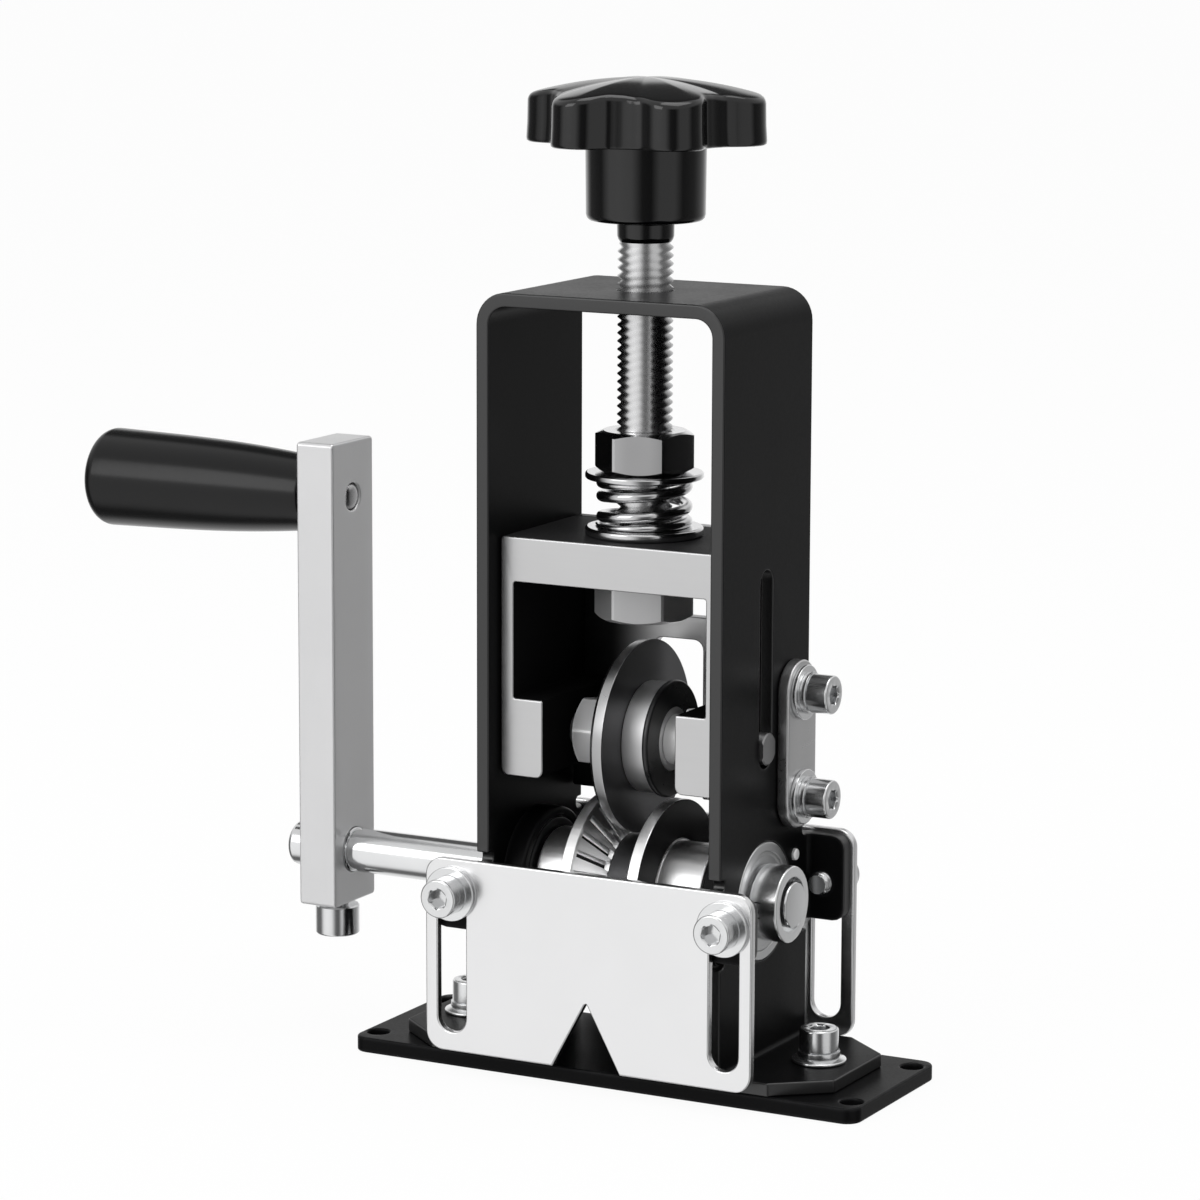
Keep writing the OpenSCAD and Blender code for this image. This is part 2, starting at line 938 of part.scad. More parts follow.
// A headless screw pointing at the shaft from above
module grub_screw(top) {
    bottom = shaft_d / 2 + fixed_gap;
    difference() {
        translate([0, 0, bottom])
            cylinder(d = grub_d, h = top - bottom);
        translate([0, 0, top - grub_socket_depth])
            hex_z(grub_socket_af, grub_socket_depth + EPS);
    }
}

module wheel_grub_screws() {
    color("#55585b")
        for (side = [-1, 1])
            at_groove(side)
                translate([(groove_half_w + rim_w + wheel_hub_end) / 2, 0, 0])
                    grub_screw(wheel_hub_d / 2 - grub_sunk);
}

module shaft_collar() {
    color("#cfd1d3")
        translate([0, 0, shaft_z])
            difference() {
                bar_x(collar_d, collar_x, collar_x + collar_l);
                bar_x(shaft_d + 2 * fixed_gap, collar_x - EPS, collar_x + collar_l + EPS);
                bar_x(collar_recess_d, collar_x + collar_l - collar_recess, collar_x + collar_l + EPS);
                translate([collar_grub_x, 0, 0])
                    rotate([90, 0, 0])
                        cylinder(d = grub_d + 2 * fixed_gap, h = collar_d);
            }
}

module collar_grub_screw() {
    color("#55585b")
        translate([collar_grub_x, 0, shaft_z])
            rotate([90, 0, 0])
                grub_screw(collar_d / 2 - grub_sunk);
}

module crank_arm() {
    color("#c8cacc")
        difference() {
            along_x(-arm_x - arm_t, -arm_x)
                translate([0, (arm_bottom + arm_top) / 2])
                    round_rect(arm_w, arm_top - arm_bottom, arm_corner_r);
            translate([0, 0, shaft_z])
                bar_x(shaft_d + 2 * fixed_gap, -arm_x - arm_t - EPS, -arm_x + EPS);
            translate([0, 0, grip_z])
                bar_x(spindle_tail_d + 2 * fixed_gap, -arm_x - arm_t - EPS, -arm_x + EPS);
            translate([arm_mid_x, 0, arm_bottom - EPS])
                cylinder(d = clamp_d + 2 * fixed_gap, h = shaft_z - arm_bottom);
        }
}

module clamp_screw() {
    seat = arm_bottom - clamp_gap;
    color("#d2d4d6")
        translate([arm_mid_x, 0, seat])
            rotate([180, 0, 0])
                cap_screw(
                    clamp_d, clamp_head_d, clamp_head_h, clamp_socket_af, clamp_socket_depth,
                    shaft_z - shaft_d / 2 - fixed_gap - seat
                );
}

// The spindle that the grip turns on, riveted into the arm
module grip_spindle() {
    tail_end = arm_x + spindle_tail_sunk;
    color("#b4b6b8")
        translate([0, 0, grip_z]) {
            bar_x(spindle_tail_d, -arm_x - arm_t - EPS, -tail_end);
            bar_x(spindle_d, -spindle_end, -arm_x - arm_t);
        }
}

// The grip swells along an arc from the arm to its round free end
module grip() {
    straight = grip_l - grip_end_r;
    color("#18191b")
        translate([-grip_start, 0, grip_z])
            rotate([0, -90, 0])
                difference() {
                    rotate_extrude()
                        polygon(concat(
                            [[0, 0], [grip_neck_d / 2 - grip_edge, 0]],
                            [for (i = [0 : grip_steps])
                                let (t = i / grip_steps)
                                [
                                    (grip_neck_d + (grip_d - grip_neck_d) * t) / 2
                                        + grip_bulge * sin(180 * t) * (1 - t / 2),
                                    grip_edge + (straight - grip_edge) * t
                                ]],
                            [for (a = [end_arc_step : end_arc_step : 90])
                                [grip_d / 2 - grip_end_r * (1 - cos(a)), straight + grip_end_r * sin(a)]],
                            [[0, grip_l]]
                        ));
                    translate([0, 0, -EPS])
                        cylinder(d = spindle_d + 2 * running_gap, h = spindle_end - grip_start + end_play);
                }
}

module upper_washer() {
    color("#c9cbcd")
        translate([0, 0, spring_top])
            washer(spring_washer_d, bolt_hole_d, upper_washer_t);
}

// Share of the wire's height that the grinding leaves at a ring: less towards both tips
function wire_share(i) =
    let (turns = min(i, spring_steps - i) / spring_rings)
    min(1, ground_share + (1 - ground_share) * turns / ground_turns);

// Height of the wire's middle at a ring: flat, then rising, then flat
function spring_height(i) =
    let (
        rise = (i / spring_rings - spring_flat_turns) * spring_pitch,
        lean = i < spring_steps / 2 ? -1 : 1
    )
    min(spring_rise, max(0, rise)) + lean * (1 - wire_share(i)) * wire_drop;

// The coil's angle at a ring, and the directions out from the bolt and forward there
function coil_angle(i) = spring_start + 360 * i / spring_rings;
function coil_out(i) = [cos(coil_angle(i)), sin(coil_angle(i)), 0];
function coil_way(i) = [-sin(coil_angle(i)), cos(coil_angle(i)), 0];

// A six-sided ring of the wire, flat below and above, moved forward by a run
function wire_ring(i, run = 0) =
    let (middle = spring_mid_r * coil_out(i) + run * coil_way(i) + [0, 0, spring_height(i)])
    [for (a = [0 : 360 / tube_sides : 359])
        middle + wire_d / 2 * (cos(a) * coil_out(i) + [0, 0, wire_share(i) * sin(a)])];

// All the rings, with a straight run of one wire width at both ends
function spring_tube() =
    concat(
        [wire_ring(0, -wire_d)],
        [for (i = [0 : spring_steps]) wire_ring(i)],
        [wire_ring(spring_steps, wire_d)]
    );

// Two triangles between each pair of neighbouring points on neighbouring rings
function tube_sides_faces(rings) =
    [for (i = [0 : rings - 2])
        for (k = [0 : tube_sides - 1])
            for (t = [0, 1])
                let (a = i * tube_sides + k, b = i * tube_sides + (k + 1) % tube_sides)
                t == 0 ? [a, b, a + tube_sides] : [b, b + tube_sides, a + tube_sides]];

// Fans of triangles that close the first and the last ring
function tube_caps(rings) =
    concat(
        [for (k = [1 : tube_sides - 2]) [0, k + 1, k]],
        [for (k = [1 : tube_sides - 2])
            let (a = (rings - 1) * tube_sides)
            [a, a + k, a + k + 1]]
    );

// Least distance between points of rings that are more than half a turn apart
function spring_gap(rings) =
    min([for (i = [0 : len(rings) - 1])
        for (j = [i + spring_rings / 2 : 1 : len(rings) - 1])
            for (p = rings[i])
                for (q = rings[j])
                    norm(p - q)]);

module spring() {
    rings = spring_tube();
    echo(str("spring: least gap to itself ", spring_gap(rings), " mm"));
    color("#d8dadc")
        translate([0, 0, spring_bottom + wire_drop])
            polyhedron(
                points = [for (ring = rings) each ring],
                faces = concat(tube_sides_faces(len(rings)), tube_caps(len(rings)))
            );
}

module adjusting_bolt() {
    crown_d = hex_af * hex_crown;
    color("#9a9da0") {
        translate([0, 0, bridge_bottom - slide_gap - bolt_head_h])
            intersection() {
                hex_z(hex_af, bolt_head_h);
                cylinder(d1 = crown_d, d2 = crown_d + crown_slope * bolt_head_h, h = bolt_head_h);
            }
        translate([0, 0, bridge_bottom - slide_gap - EPS])
            cylinder(d = bolt_d, h = knob_neck_bottom - bridge_bottom);
        translate([0, 0, knob_neck_bottom - end_overlap])
            cylinder(d = bolt_end_d, h = bolt_end - knob_neck_bottom + end_overlap);
    }
}

module upper_nut() {
    crown_d = hex_af * hex_crown;
    color("#c2c4c6")
        translate([0, 0, nut_bottom + slide_gap])
            difference() {
                intersection() {
                    hex_z(hex_af, nut_h);
                    cylinder(d1 = crown_d + crown_slope * nut_h, d2 = crown_d, h = nut_h);
                    cylinder(d1 = crown_d, d2 = crown_d + crown_slope * nut_h, h = nut_h);
                }
                translate([0, 0, -EPS])
                    cylinder(d = bolt_d + 2 * fixed_gap, h = nut_h + 2 * EPS);
            }
}

// The knob from above: a round middle with six lobes and a valley between each pair
module knob_outline() {
    difference() {
        union() {
            circle(knob_core_r);
            for (i = [0 : lobe_count - 1])
                rotate(i * 360 / lobe_count)
                    translate([knob_d / 2 - lobe_r, 0])
                        circle(lobe_r);
        }
        for (i = [0 : lobe_count - 1])
            rotate((i + 0.5) * 360 / lobe_count)
                translate([valley_dist, 0])
                    circle(valley_r);
    }
}

module knob() {
    color("#18191b")
        rotate([0, 0, knob_angle])
            difference() {
                union() {
                    intersection() {
                        translate([0, 0, knob_bottom])
                            linear_extrude(knob_top - knob_bottom)
                                knob_outline();
                        translate([0, 0, knob_top - knob_dome_r])
                            sphere(knob_dome_r, $fn = 128);
                    }
                    translate([0, 0, knob_hub_bottom + knob_chamfer])
                        cylinder(d = knob_hub_d, h = knob_bottom - knob_hub_bottom);
                    translate([0, 0, knob_hub_bottom])
                        cylinder(d1 = knob_hub_d - 2 * knob_chamfer, d2 = knob_hub_d, h = knob_chamfer);
                    translate([0, 0, knob_neck_bottom])
                        cylinder(d1 = knob_neck_d - knob_chamfer, d2 = knob_neck_d, h = knob_chamfer);
                    translate([0, 0, knob_neck_bottom + knob_chamfer])
                        cylinder(d = knob_neck_d, h = knob_hub_bottom - knob_neck_bottom);
                }
                translate([0, 0, knob_neck_bottom - EPS])
                    cylinder(
                        d = bolt_end_d + 2 * fixed_gap,
                        h = bolt_end - knob_neck_bottom + knob_bore_play
                    );
            }
}

module lower_washer() {
    color("#c9cbcd")
        translate([0, 0, holder_top])
            washer(spring_washer_d, bolt_hole_d, lower_washer_t);
}

// The sharp part of a square corner at the origin, to be cut off
module corner_waste(r) {
    translate([-EPS, -EPS])
        difference() {
            square(r + EPS);
            translate([r + EPS, r + EPS])
                circle(r);
        }
}

// The holder from the front: a bridge, two legs, and a foot block inside each leg
module holder_outline() {
    half = holder_w / 2;
    difference() {
        translate([-half, block_bottom])
            square([2 * half, holder_top - block_bottom]);
        translate([-half + leg_t, block_top])
            square([2 * (half - leg_t), bridge_bottom - block_top]);
        translate([-block_x, block_bottom - EPS])
            square([2 * block_x, block_top - block_bottom + 2 * EPS]);
        for (s = [0, 1])
            mirror([s, 0]) {
                translate([block_x, block_bottom])
                    corner_waste(block_corner_r);
                translate([half, block_bottom])
                    mirror([1, 0])
                        corner_waste(block_corner_r);
            }
    }
}

module blade_holder() {
    color("#b4b6b8")
        difference() {
            along_y(-holder_y, holder_y)
                holder_outline();
            translate([0, 0, bridge_bottom - EPS])
                cylinder(d = bolt_hole_d, h = holder_top - bridge_bottom + 2 * EPS);
            translate([0, 0, axle_z])
                bar_x(axle_d + 2 * fixed_gap, -holder_w / 2 - EPS, holder_w / 2 + EPS);
            on_guard(holder_y + EPS)
                translate([0, 0, -guard_screw_grip - guard_hole_spare])
                    cylinder(d = guard_screw_d + 2 * fixed_gap, h = guard_screw_grip + guard_hole_spare);
        }
}

// Puts its children on the four guard screws, with Z turned to the back
module on_guard(y) {
    for (sx = [-1, 1])
        for (z = [guard_screw_low, guard_screw_high])
            translate([sx * guard_screw_x, y, z])
                rotate([-90, 0, 0])
                    children();
}

module blade_guard() {
    half = holder_w / 2;
    color("#8f9295")
        difference() {
            along_y(holder_y, holder_y + guard_t)
                difference() {
                    translate([-half, guard_bottom])
                        square([2 * half, holder_top - guard_bottom]);
                    translate([-guard_window_half, guard_window_bottom])
                        square([2 * guard_window_half, bridge_bottom - guard_window_bottom]);
                    arch_shape(guard_slot_w / 2, guard_bottom - EPS, guard_slot_top, guard_slot_r);
                }
            on_guard(holder_y - EPS)
                cylinder(d = guard_screw_d + 2 * guard_hole_play, h = guard_t + 2 * EPS);
        }
}

module guard_screws() {
    color("#c9cbcd")
        on_guard(holder_y + guard_t)
            cap_screw(
                guard_screw_d, guard_screw_head_d, guard_screw_head_t,
                guard_socket_af, guard_socket_depth, guard_t + guard_screw_grip
            );
}

// A round bar whose two tips are flattened to run in the frame's slots
module blade_axle() {
    body_end = holder_w / 2 - body_short;
    color("#b9bbbd")
        translate([0, 0, axle_z])
            union() {
                bar_x(axle_d, -body_end, body_end);
                intersection() {
                    bar_x(axle_tip_h, -axle_tip_end, axle_tip_end);
                    cube([2 * (axle_tip_end + EPS), axle_tip_w, axle_tip_h], center = true);
                }
            }
}

// A six-sided nut on the axle, one corner to the front
module nut_on_axle(x, t) {
    color("#b4b6b8")
        translate([0, 0, axle_z])
            difference() {
                rotate([30, 0, 0])
                    bar_x(axle_nut_af / cos(30), x, x + t, 6);
                bar_x(axle_d + 2 * fixed_gap, x - EPS, x + t + EPS);
            }
}

module axle_nut() {
    nut_on_axle(hub_x0 - slide_gap - left_spacer_t - axle_nut_t, axle_nut_t);
}

module axle_jam_nut() {
    nut_on_axle(hub_x1 + slide_gap + right_spacer_t, axle_jam_nut_t);
}

module axle_spacers() {
    color("#d0d2d4")
        translate([0, 0, axle_z])
            for (x = [
                [hub_x0 - slide_gap - left_spacer_t, hub_x0 - slide_gap],
                [hub_x1 + slide_gap, hub_x1 + slide_gap + right_spacer_t]
            ])
                difference() {
                    bar_x(axle_spacer_d, x[0], x[1]);
                    bar_x(axle_d + 2 * fixed_gap, x[0] - EPS, x[1] + EPS);
                }
}

// The blade: a flat ring with a bright land on its rim and a bevel on the left side
module blade() {
    color("#4a4d50")
        translate([blade_x0, 0, axle_z])
            rotate([0, 90, 0])
                rotate_extrude($fn = 96)
                    polygon([
                        [blade_bore_d / 2 + fixed_gap, 0],
                        [blade_r - bevel_h, 0],
                        [blade_r - land_drop, blade_t - land_w],
                        [blade_r, blade_t],
                        [blade_bore_d / 2 + fixed_gap, blade_t]
                    ]);
}

// The hub: a sleeve that runs on the axle, with a seat for the blade and a silver ring
module blade_hub() {
    color("#c9cbcd")
        translate([0, 0, axle_z])
            difference() {
                union() {
                    bar_x(hub_core_d, hub_x0, hub_x1);
                    bar_x(blade_bore_d, blade_x0 + fixed_gap, blade_x1);
                    bar_x(hub_ring_d, blade_x1, hub_ring_end);
                }
                bar_x(axle_d + 2 * running_gap, hub_x0 - EPS, hub_x1 + EPS);
            }
}

// A dark flange disc with rounded rims, clamped against the hub
module flange(x) {
    color("#2a2c2e")
        translate([x, 0, axle_z])
            rotate([0, 90, 0])
                rotate_extrude()
                    polygon([
                        [hub_core_d / 2 + fixed_gap, 0],
                        [flange_d / 2 - flange_edge, 0],
                        [flange_d / 2, flange_edge],
                        [flange_d / 2, flange_t - flange_edge],
                        [flange_d / 2 - flange_edge, flange_t],
                        [hub_core_d / 2 + fixed_gap, flange_t]
                    ]);
}

module left_flange() {
    flange(hub_x0);
}

module right_flange() {
    flange(hub_ring_end);
}

base_plate();
frame();
bearing_bosses();
foot_washers();
foot_lock_washers();
foot_screws();
front_plate();
back_plate();
plate_washers();
plate_screws();
wall_pin();
guide_plate();
guide_washers();
guide_lock_washers();
guide_screws();
left_bearing_outer();
left_bearing_seals();
left_bearing_balls();
left_bearing_inner();
right_bearing_outer();
right_bearing_seals();
right_bearing_balls();
right_bearing_inner();
drive_shaft();
left_wheel();
right_wheel();
groove_ring();
wheel_spacers();
wheel_grub_screws();
shaft_collar();
collar_grub_screw();
crank_arm();
clamp_screw();
grip_spindle();
grip();
upper_washer();
spring();
adjusting_bolt();
upper_nut();
knob();
lower_washer();
blade_holder();
blade_guard();
guard_screws();
blade_axle();
axle_nut();
axle_jam_nut();
axle_spacers();
blade();
blade_hub();
left_flange();
right_flange();
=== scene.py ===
"""A hand crank wire stripper, built up in the order in which it is put together."""

import math

import bmesh
import bpy
from mathutils import Matrix, Vector


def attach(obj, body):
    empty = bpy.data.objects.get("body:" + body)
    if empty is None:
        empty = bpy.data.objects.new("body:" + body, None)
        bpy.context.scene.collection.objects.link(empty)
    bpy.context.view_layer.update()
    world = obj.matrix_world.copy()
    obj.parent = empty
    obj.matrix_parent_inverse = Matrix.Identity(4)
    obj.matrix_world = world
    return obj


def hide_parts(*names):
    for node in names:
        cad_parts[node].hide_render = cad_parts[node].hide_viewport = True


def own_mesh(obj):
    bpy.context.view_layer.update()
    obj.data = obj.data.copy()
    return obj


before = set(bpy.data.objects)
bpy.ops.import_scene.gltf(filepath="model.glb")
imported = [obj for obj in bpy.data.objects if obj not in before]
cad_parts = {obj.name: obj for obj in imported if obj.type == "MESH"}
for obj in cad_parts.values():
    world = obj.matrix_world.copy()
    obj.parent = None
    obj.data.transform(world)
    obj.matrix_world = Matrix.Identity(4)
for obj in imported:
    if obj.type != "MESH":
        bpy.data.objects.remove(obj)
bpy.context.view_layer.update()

# Camera
# A long lens looks at the tool from the front right and a little from above. Its angles and
# its distance were read from the picture's own straight lines.
MM = 0.001
CAMERA_AT, LENS, SENSOR = Vector((454.04, -873.13, 276.89)), 138.7, 36
YAW, PITCH, ROLL = (math.radians(a) for a in (28.028, 9.985, 0.188))
level_right = Vector((math.cos(YAW), math.sin(YAW), 0))
ahead = Vector((-math.sin(YAW) * math.cos(PITCH), math.cos(YAW) * math.cos(PITCH), -math.sin(PITCH)))
level_up = level_right.cross(ahead)
lens_right = level_right * math.cos(ROLL) + level_up * math.sin(ROLL)
lens_up = level_up * math.cos(ROLL) - level_right * math.sin(ROLL)
camera = bpy.data.objects.new("camera", bpy.data.cameras.new("camera"))
camera.data.sensor_width, camera.data.lens = SENSOR, LENS
camera.data.clip_start, camera.data.clip_end = 0.1, 20
camera.matrix_world = Matrix.Translation(CAMERA_AT * MM) @ (
    Matrix((lens_right, lens_up, -ahead)).transposed().to_4x4()
)
bpy.context.scene.collection.objects.link(camera)
bpy.context.scene.camera = camera

# Studio
# A white room: the camera sees plain white behind the tool, and metal sees a soft bright
# front, a dimmer right side and a pale floor. Two soft boxes give shape.
bpy.context.scene.view_settings.view_transform = "Standard"
world = bpy.data.worlds.new("white room")
bpy.context.scene.world = world
world.use_nodes = True
room = world.node_tree
room.nodes.clear()


def wired(tree, kind, links=(), **settings):
    """A new node in the tree, with its settings and its input links or values."""
    node = tree.nodes.new(kind)
    for key, value in settings.items():
        setattr(node, key, value)
    for socket, value in dict(links).items():
        if isinstance(value, bpy.types.NodeSocket):
            tree.links.new(value, node.inputs[socket])
        else:
            node.inputs[socket].default_value = value
    return node


def smooth_rise(tree, value, low, high, start=0.0):
    """A smooth rise from start to 1 while the value goes from low to high."""
    links = {0: value, 1: low, 2: high, 3: start}
    return wired(tree, "ShaderNodeMapRange", links, interpolation_type="SMOOTHSTEP").outputs[0]


def blend(tree, share, first, second):
    """A colour between two others. The share goes from 0 to 1."""
    return wired(tree, "ShaderNodeMix", {0: share, 6: first, 7: second}, data_type="RGBA").outputs[2]


def toward(tree, direction, near, far):
    """How far a direction of the room lies towards another one, from 0 to 1."""
    coordinate = wired(tree, "ShaderNodeTexCoord").outputs["Generated"]
    share = wired(tree, "ShaderNodeVectorMath", {0: coordinate, 1: direction}, operation="DOT_PRODUCT")
    return smooth_rise(tree, share.outputs["Value"], near, far)


def maths(tree, operation, a, b=0.0, clamp=False):
    """The result of one sum on two numbers."""
    return wired(tree, "ShaderNodeMath", {0: a, 1: b}, operation=operation, use_clamp=clamp).outputs[0]


way = wired(room, "ShaderNodeSeparateXYZ", {0: wired(room, "ShaderNodeTexCoord").outputs["Generated"]})
turn = maths(room, "ARCTAN2", way.outputs["Y"], way.outputs["X"])
around = maths(room, "MULTIPLY_ADD", turn, 0.5 / math.pi)
around.node.inputs[2].default_value = 0.5
walls = wired(room, "ShaderNodeValToRGB", {0: around}).outputs[0]
# Each pair is a direction in degrees, counted from +X towards +Y, and how bright the wall is.
brightness = [
    (-180, 0.16), (-156, 0.14), (-136, 0.95), (-116, 1.05), (-90, 0.95), (-70, 0.14), (-52, 0.1),
    (-36, 0.72), (-6, 0.72), (12, 0.14), (42, 0.2), (62, 0.42), (84, 0.7), (118, 1.0), (146, 0.8),
    (168, 0.16)
]
stops = walls.node.color_ramp.elements
stops[0].position, stops[0].color = 0.0, (brightness[0][1],) * 3 + (1,)
stops[1].position, stops[1].color = 1.0, (brightness[0][1],) * 3 + (1,)
for degrees, level in brightness[1:]:
    stops.new(degrees / 360 + 0.5).color = (level, level, level, 1)
ceiling = smooth_rise(room, way.outputs["Z"], 0.12, 0.45)
lit = blend(room, ceiling, walls, (0.8, 0.8, 0.8, 1))
behind = toward(room, (-math.sin(YAW), math.cos(YAW), 0), 0.75, 0.95)
# A dark card hangs behind the tool, over the backdrop, and gives black plastic its depth.
CARD_UP = math.radians(39)
card_way = (-math.sin(YAW) * math.cos(CARD_UP), math.cos(YAW) * math.cos(CARD_UP), math.sin(CARD_UP))
card = toward(room, card_way, 0.91, 0.96)
carded = blend(room, card, lit, (0.1, 0.1, 0.1, 1))
paths = wired(room, "ShaderNodeLightPath")
seen = maths(room, "ADD", paths.outputs["Is Camera Ray"], paths.outputs["Is Transmission Ray"])
backdrop_seen = maths(room, "MULTIPLY", behind, maths(room, "SUBTRACT", 1.0, card))
seen = maths(
    room, "ADD", seen, maths(room, "MULTIPLY", paths.outputs["Is Glossy Ray"], backdrop_seen), True
)
light = wired(room, "ShaderNodeBackground", {0: blend(room, seen, carded, (1, 1, 1, 1)), 1: 1.0})
wired(room, "ShaderNodeOutputWorld", {0: light.outputs[0]})


def soft_box(name, place, size, power):
    """A square soft light that faces the middle of the tool."""
    middle = Vector((0, 0, 0.09))
    lamp = bpy.data.lights.new(name, "AREA")
    lamp.shape, lamp.size, lamp.size_y = "RECTANGLE", size[0], size[1]
    lamp.energy = power
    holder = bpy.data.objects.new(name, lamp)
    holder.location = place
    holder.rotation_euler = (middle - Vector(place)).to_track_quat("-Z", "Y").to_euler()
    bpy.context.scene.collection.objects.link(holder)


soft_box("front soft box", (-0.6, -1.2, 0.7), (0.8, 0.8), 4.2)
soft_box("top soft box", (0.1, 0.0, 1.2), (0.8, 0.8), 4.0)

floor_mesh = bpy.data.meshes.new("floor")
floor_mesh.from_pydata([(-6, -6, 0), (6, -6, 0), (6, 6, 0), (-6, 6, 0)], [], [(0, 1, 2, 3)])
floor = bpy.data.objects.new("floor", floor_mesh)
floor.visible_glossy = False
bpy.context.scene.collection.objects.link(floor)
pale = bpy.data.materials.new("pale floor")
pale.use_nodes = True
tree = pale.node_tree
tree.nodes.clear()
paths = wired(tree, "ShaderNodeLightPath")
FLOOR_WHITE = 0.93
whitened = maths(tree, "MULTIPLY", paths.outputs["Is Camera Ray"], FLOOR_WHITE)
matt = wired(tree, "ShaderNodeBsdfDiffuse", {0: (0.92, 0.92, 0.92, 1)})
white = wired(tree, "ShaderNodeEmission", {0: (1, 1, 1, 1), 1: 1.0})
surface = wired(tree, "ShaderNodeMixShader", {0: whitened, 1: matt.outputs[0], 2: white.outputs[0]})
wired(tree, "ShaderNodeOutputMaterial", {0: surface.outputs[0]})
floor_mesh.materials.append(pale)


# Base plate
# A flat steel plate with a hole near each corner, by which it is fixed to a bench. It is
# cut from sheet, its edges are broken, and it is powder coated black.
def eased(corners, steps=4):
    """The points of a closed outline whose corners are (across, up, corner radius)."""
    points = []
    for i, (u, v, radius) in enumerate(corners):
        here = Vector((u, v))
        back = Vector(corners[i - 1][:2]) - here
        on = Vector(corners[(i + 1) % len(corners)][:2]) - here
        room_left = 0.49 * min(back.length, on.length)
        back.normalize()
        on.normalize()
        half = back.angle(on) / 2
        if radius <= 0 or half > 1.55:
            points.append(here)
            continue
        reach = min(radius / math.tan(half), room_left)
        centre = here + (back + on).normalized() * (reach / math.cos(half))
        first, last = here + back * reach - centre, here + on * reach - centre
        turn = first.angle(last)
        for k in range(steps + 1):
            part = k / steps
            point = first * math.sin((1 - part) * turn) + last * math.sin(part * turn)
            points.append(centre + point / math.sin(turn))
    return points


def rectangle(width, height, radius, u=0.0, v=0.0):
    """The corners of a rectangle about (u, v), for eased()."""
    a, b = width / 2, height / 2
    return [(u + s * a, v + t * b, radius) for s, t in ((-1, -1), (1, -1), (1, 1), (-1, 1))]


def mirrored(corners, u=-1, v=1):
    """The corners mirrored, in reverse order so that the outline runs on."""
    return [(u * across, v * up, radius) for across, up, radius in reversed(corners)]


def full_turn(count):
    """The angles of one full turn in equal steps."""
    return [2 * math.pi * k / count for k in range(count)]


def ring_of_points(radius, u=0.0, v=0.0, count=40):
    return [Vector((u + radius * math.cos(a), v + radius * math.sin(a))) for a in full_turn(count)]


def level_row(turns, reach, height):
    """Points at one height, one at each angle. The reach is one radius or one per angle."""
    radii = reach if isinstance(reach, list) else [reach] * len(turns)
    return [(r * math.cos(a), r * math.sin(a), height) for r, a in zip(radii, turns)]


def skin(shape, rows, join=False):
    """Adds faces between rings of points to a shape, and returns the rings' vertices."""
    rings = [[shape.verts.new(p) for p in row] for row in rows]
    for low, high in zip(rings, rings[1:] + rings[:1] if join else rings[1:]):
        for k in range(len(low)):
            n = (k + 1) % len(low)
            shape.faces.new((low[k], low[n], high[n], high[k]))
    return rings


def loft(rows, join=False):
    """Skin between rings of points. The last ring joins the first, or both ends are closed."""
    shape = bmesh.new()
    rings = skin(shape, rows, join)
    for ring in () if join else (rings[0], rings[-1]):
        middle = shape.verts.new(sum((v.co for v in ring), Vector()) / len(ring))
        for k in range(len(ring)):
            shape.faces.new((ring[k], ring[(k + 1) % len(ring)], middle))
    return shape


# How many steps make the round of a sheet's edge.
EDGE_STEPS = 3


def cut_sheet(outline, holes, low, high, edge):
    """A sheet from an outline with holes, between two heights, with rounded edges."""
    shape = bmesh.new()
    rims = ([], [])
    for number, loop in enumerate([outline] + list(holes)):
        area = sum(p.cross(q) for p, q in zip(loop, loop[1:] + loop[:1]))
        loop = loop if (area > 0) == (number == 0) else loop[::-1]
        rows = []
        for way_up in (0, 1):
            for step in range(EDGE_STEPS + 1):
                turn = math.pi / 2 * (step if way_up == 0 else EDGE_STEPS - step) / EDGE_STEPS
                inset = edge * (1 - math.sin(turn))
                rise = edge * (1 - math.cos(turn))
                height = low + rise if way_up == 0 else high - rise
                row = []
                for i, here in enumerate(loop):
                    before = (here - loop[i - 1]).normalized()
                    after = (loop[(i + 1) % len(loop)] - here).normalized()
                    out = Vector((before.y + after.y, -before.x - after.x))
                    out = out / max(0.3, out.length_squared / 2)
                    row.append((here - out * inset).to_3d() + Vector((0, 0, height)))
                rows.append(row)
        rings = skin(shape, rows)
        for rim, ring in zip(rims, (rings[0], rings[-1])):
            rim += [shape.edges.get((ring[k], ring[k - 1])) for k in range(len(ring))]
    for rim in rims:
        bmesh.ops.triangle_fill(shape, edges=rim, use_beauty=True, use_dissolve=False)
    return shape


def seat(x=0.0, y=0.0, z=0.0, toward="z", spin=0.0):
    """Where a shape made along its own Z stands, in millimetres."""
    turns = {
        "z": (0, "X"), "-z": (180, "X"), "x": (90, "Y"), "-x": (-90, "Y"), "y": (-90, "X"), "-y": (90, "X")
    }
    angle, axis = turns[toward]
    return (
        Matrix.Translation((x, y, z)) @ Matrix.Rotation(math.radians(angle), 4, axis)
        @ Matrix.Rotation(math.radians(spin), 4, "Z")
    )


def marked(shape, test, number=1):
    """The shape, with one of its piece's finishes on the faces that pass a test."""
    shape.normal_update()
    for face in shape.faces:
        if test(face, face.calc_center_median()):
            face.material_index = number
    return shape


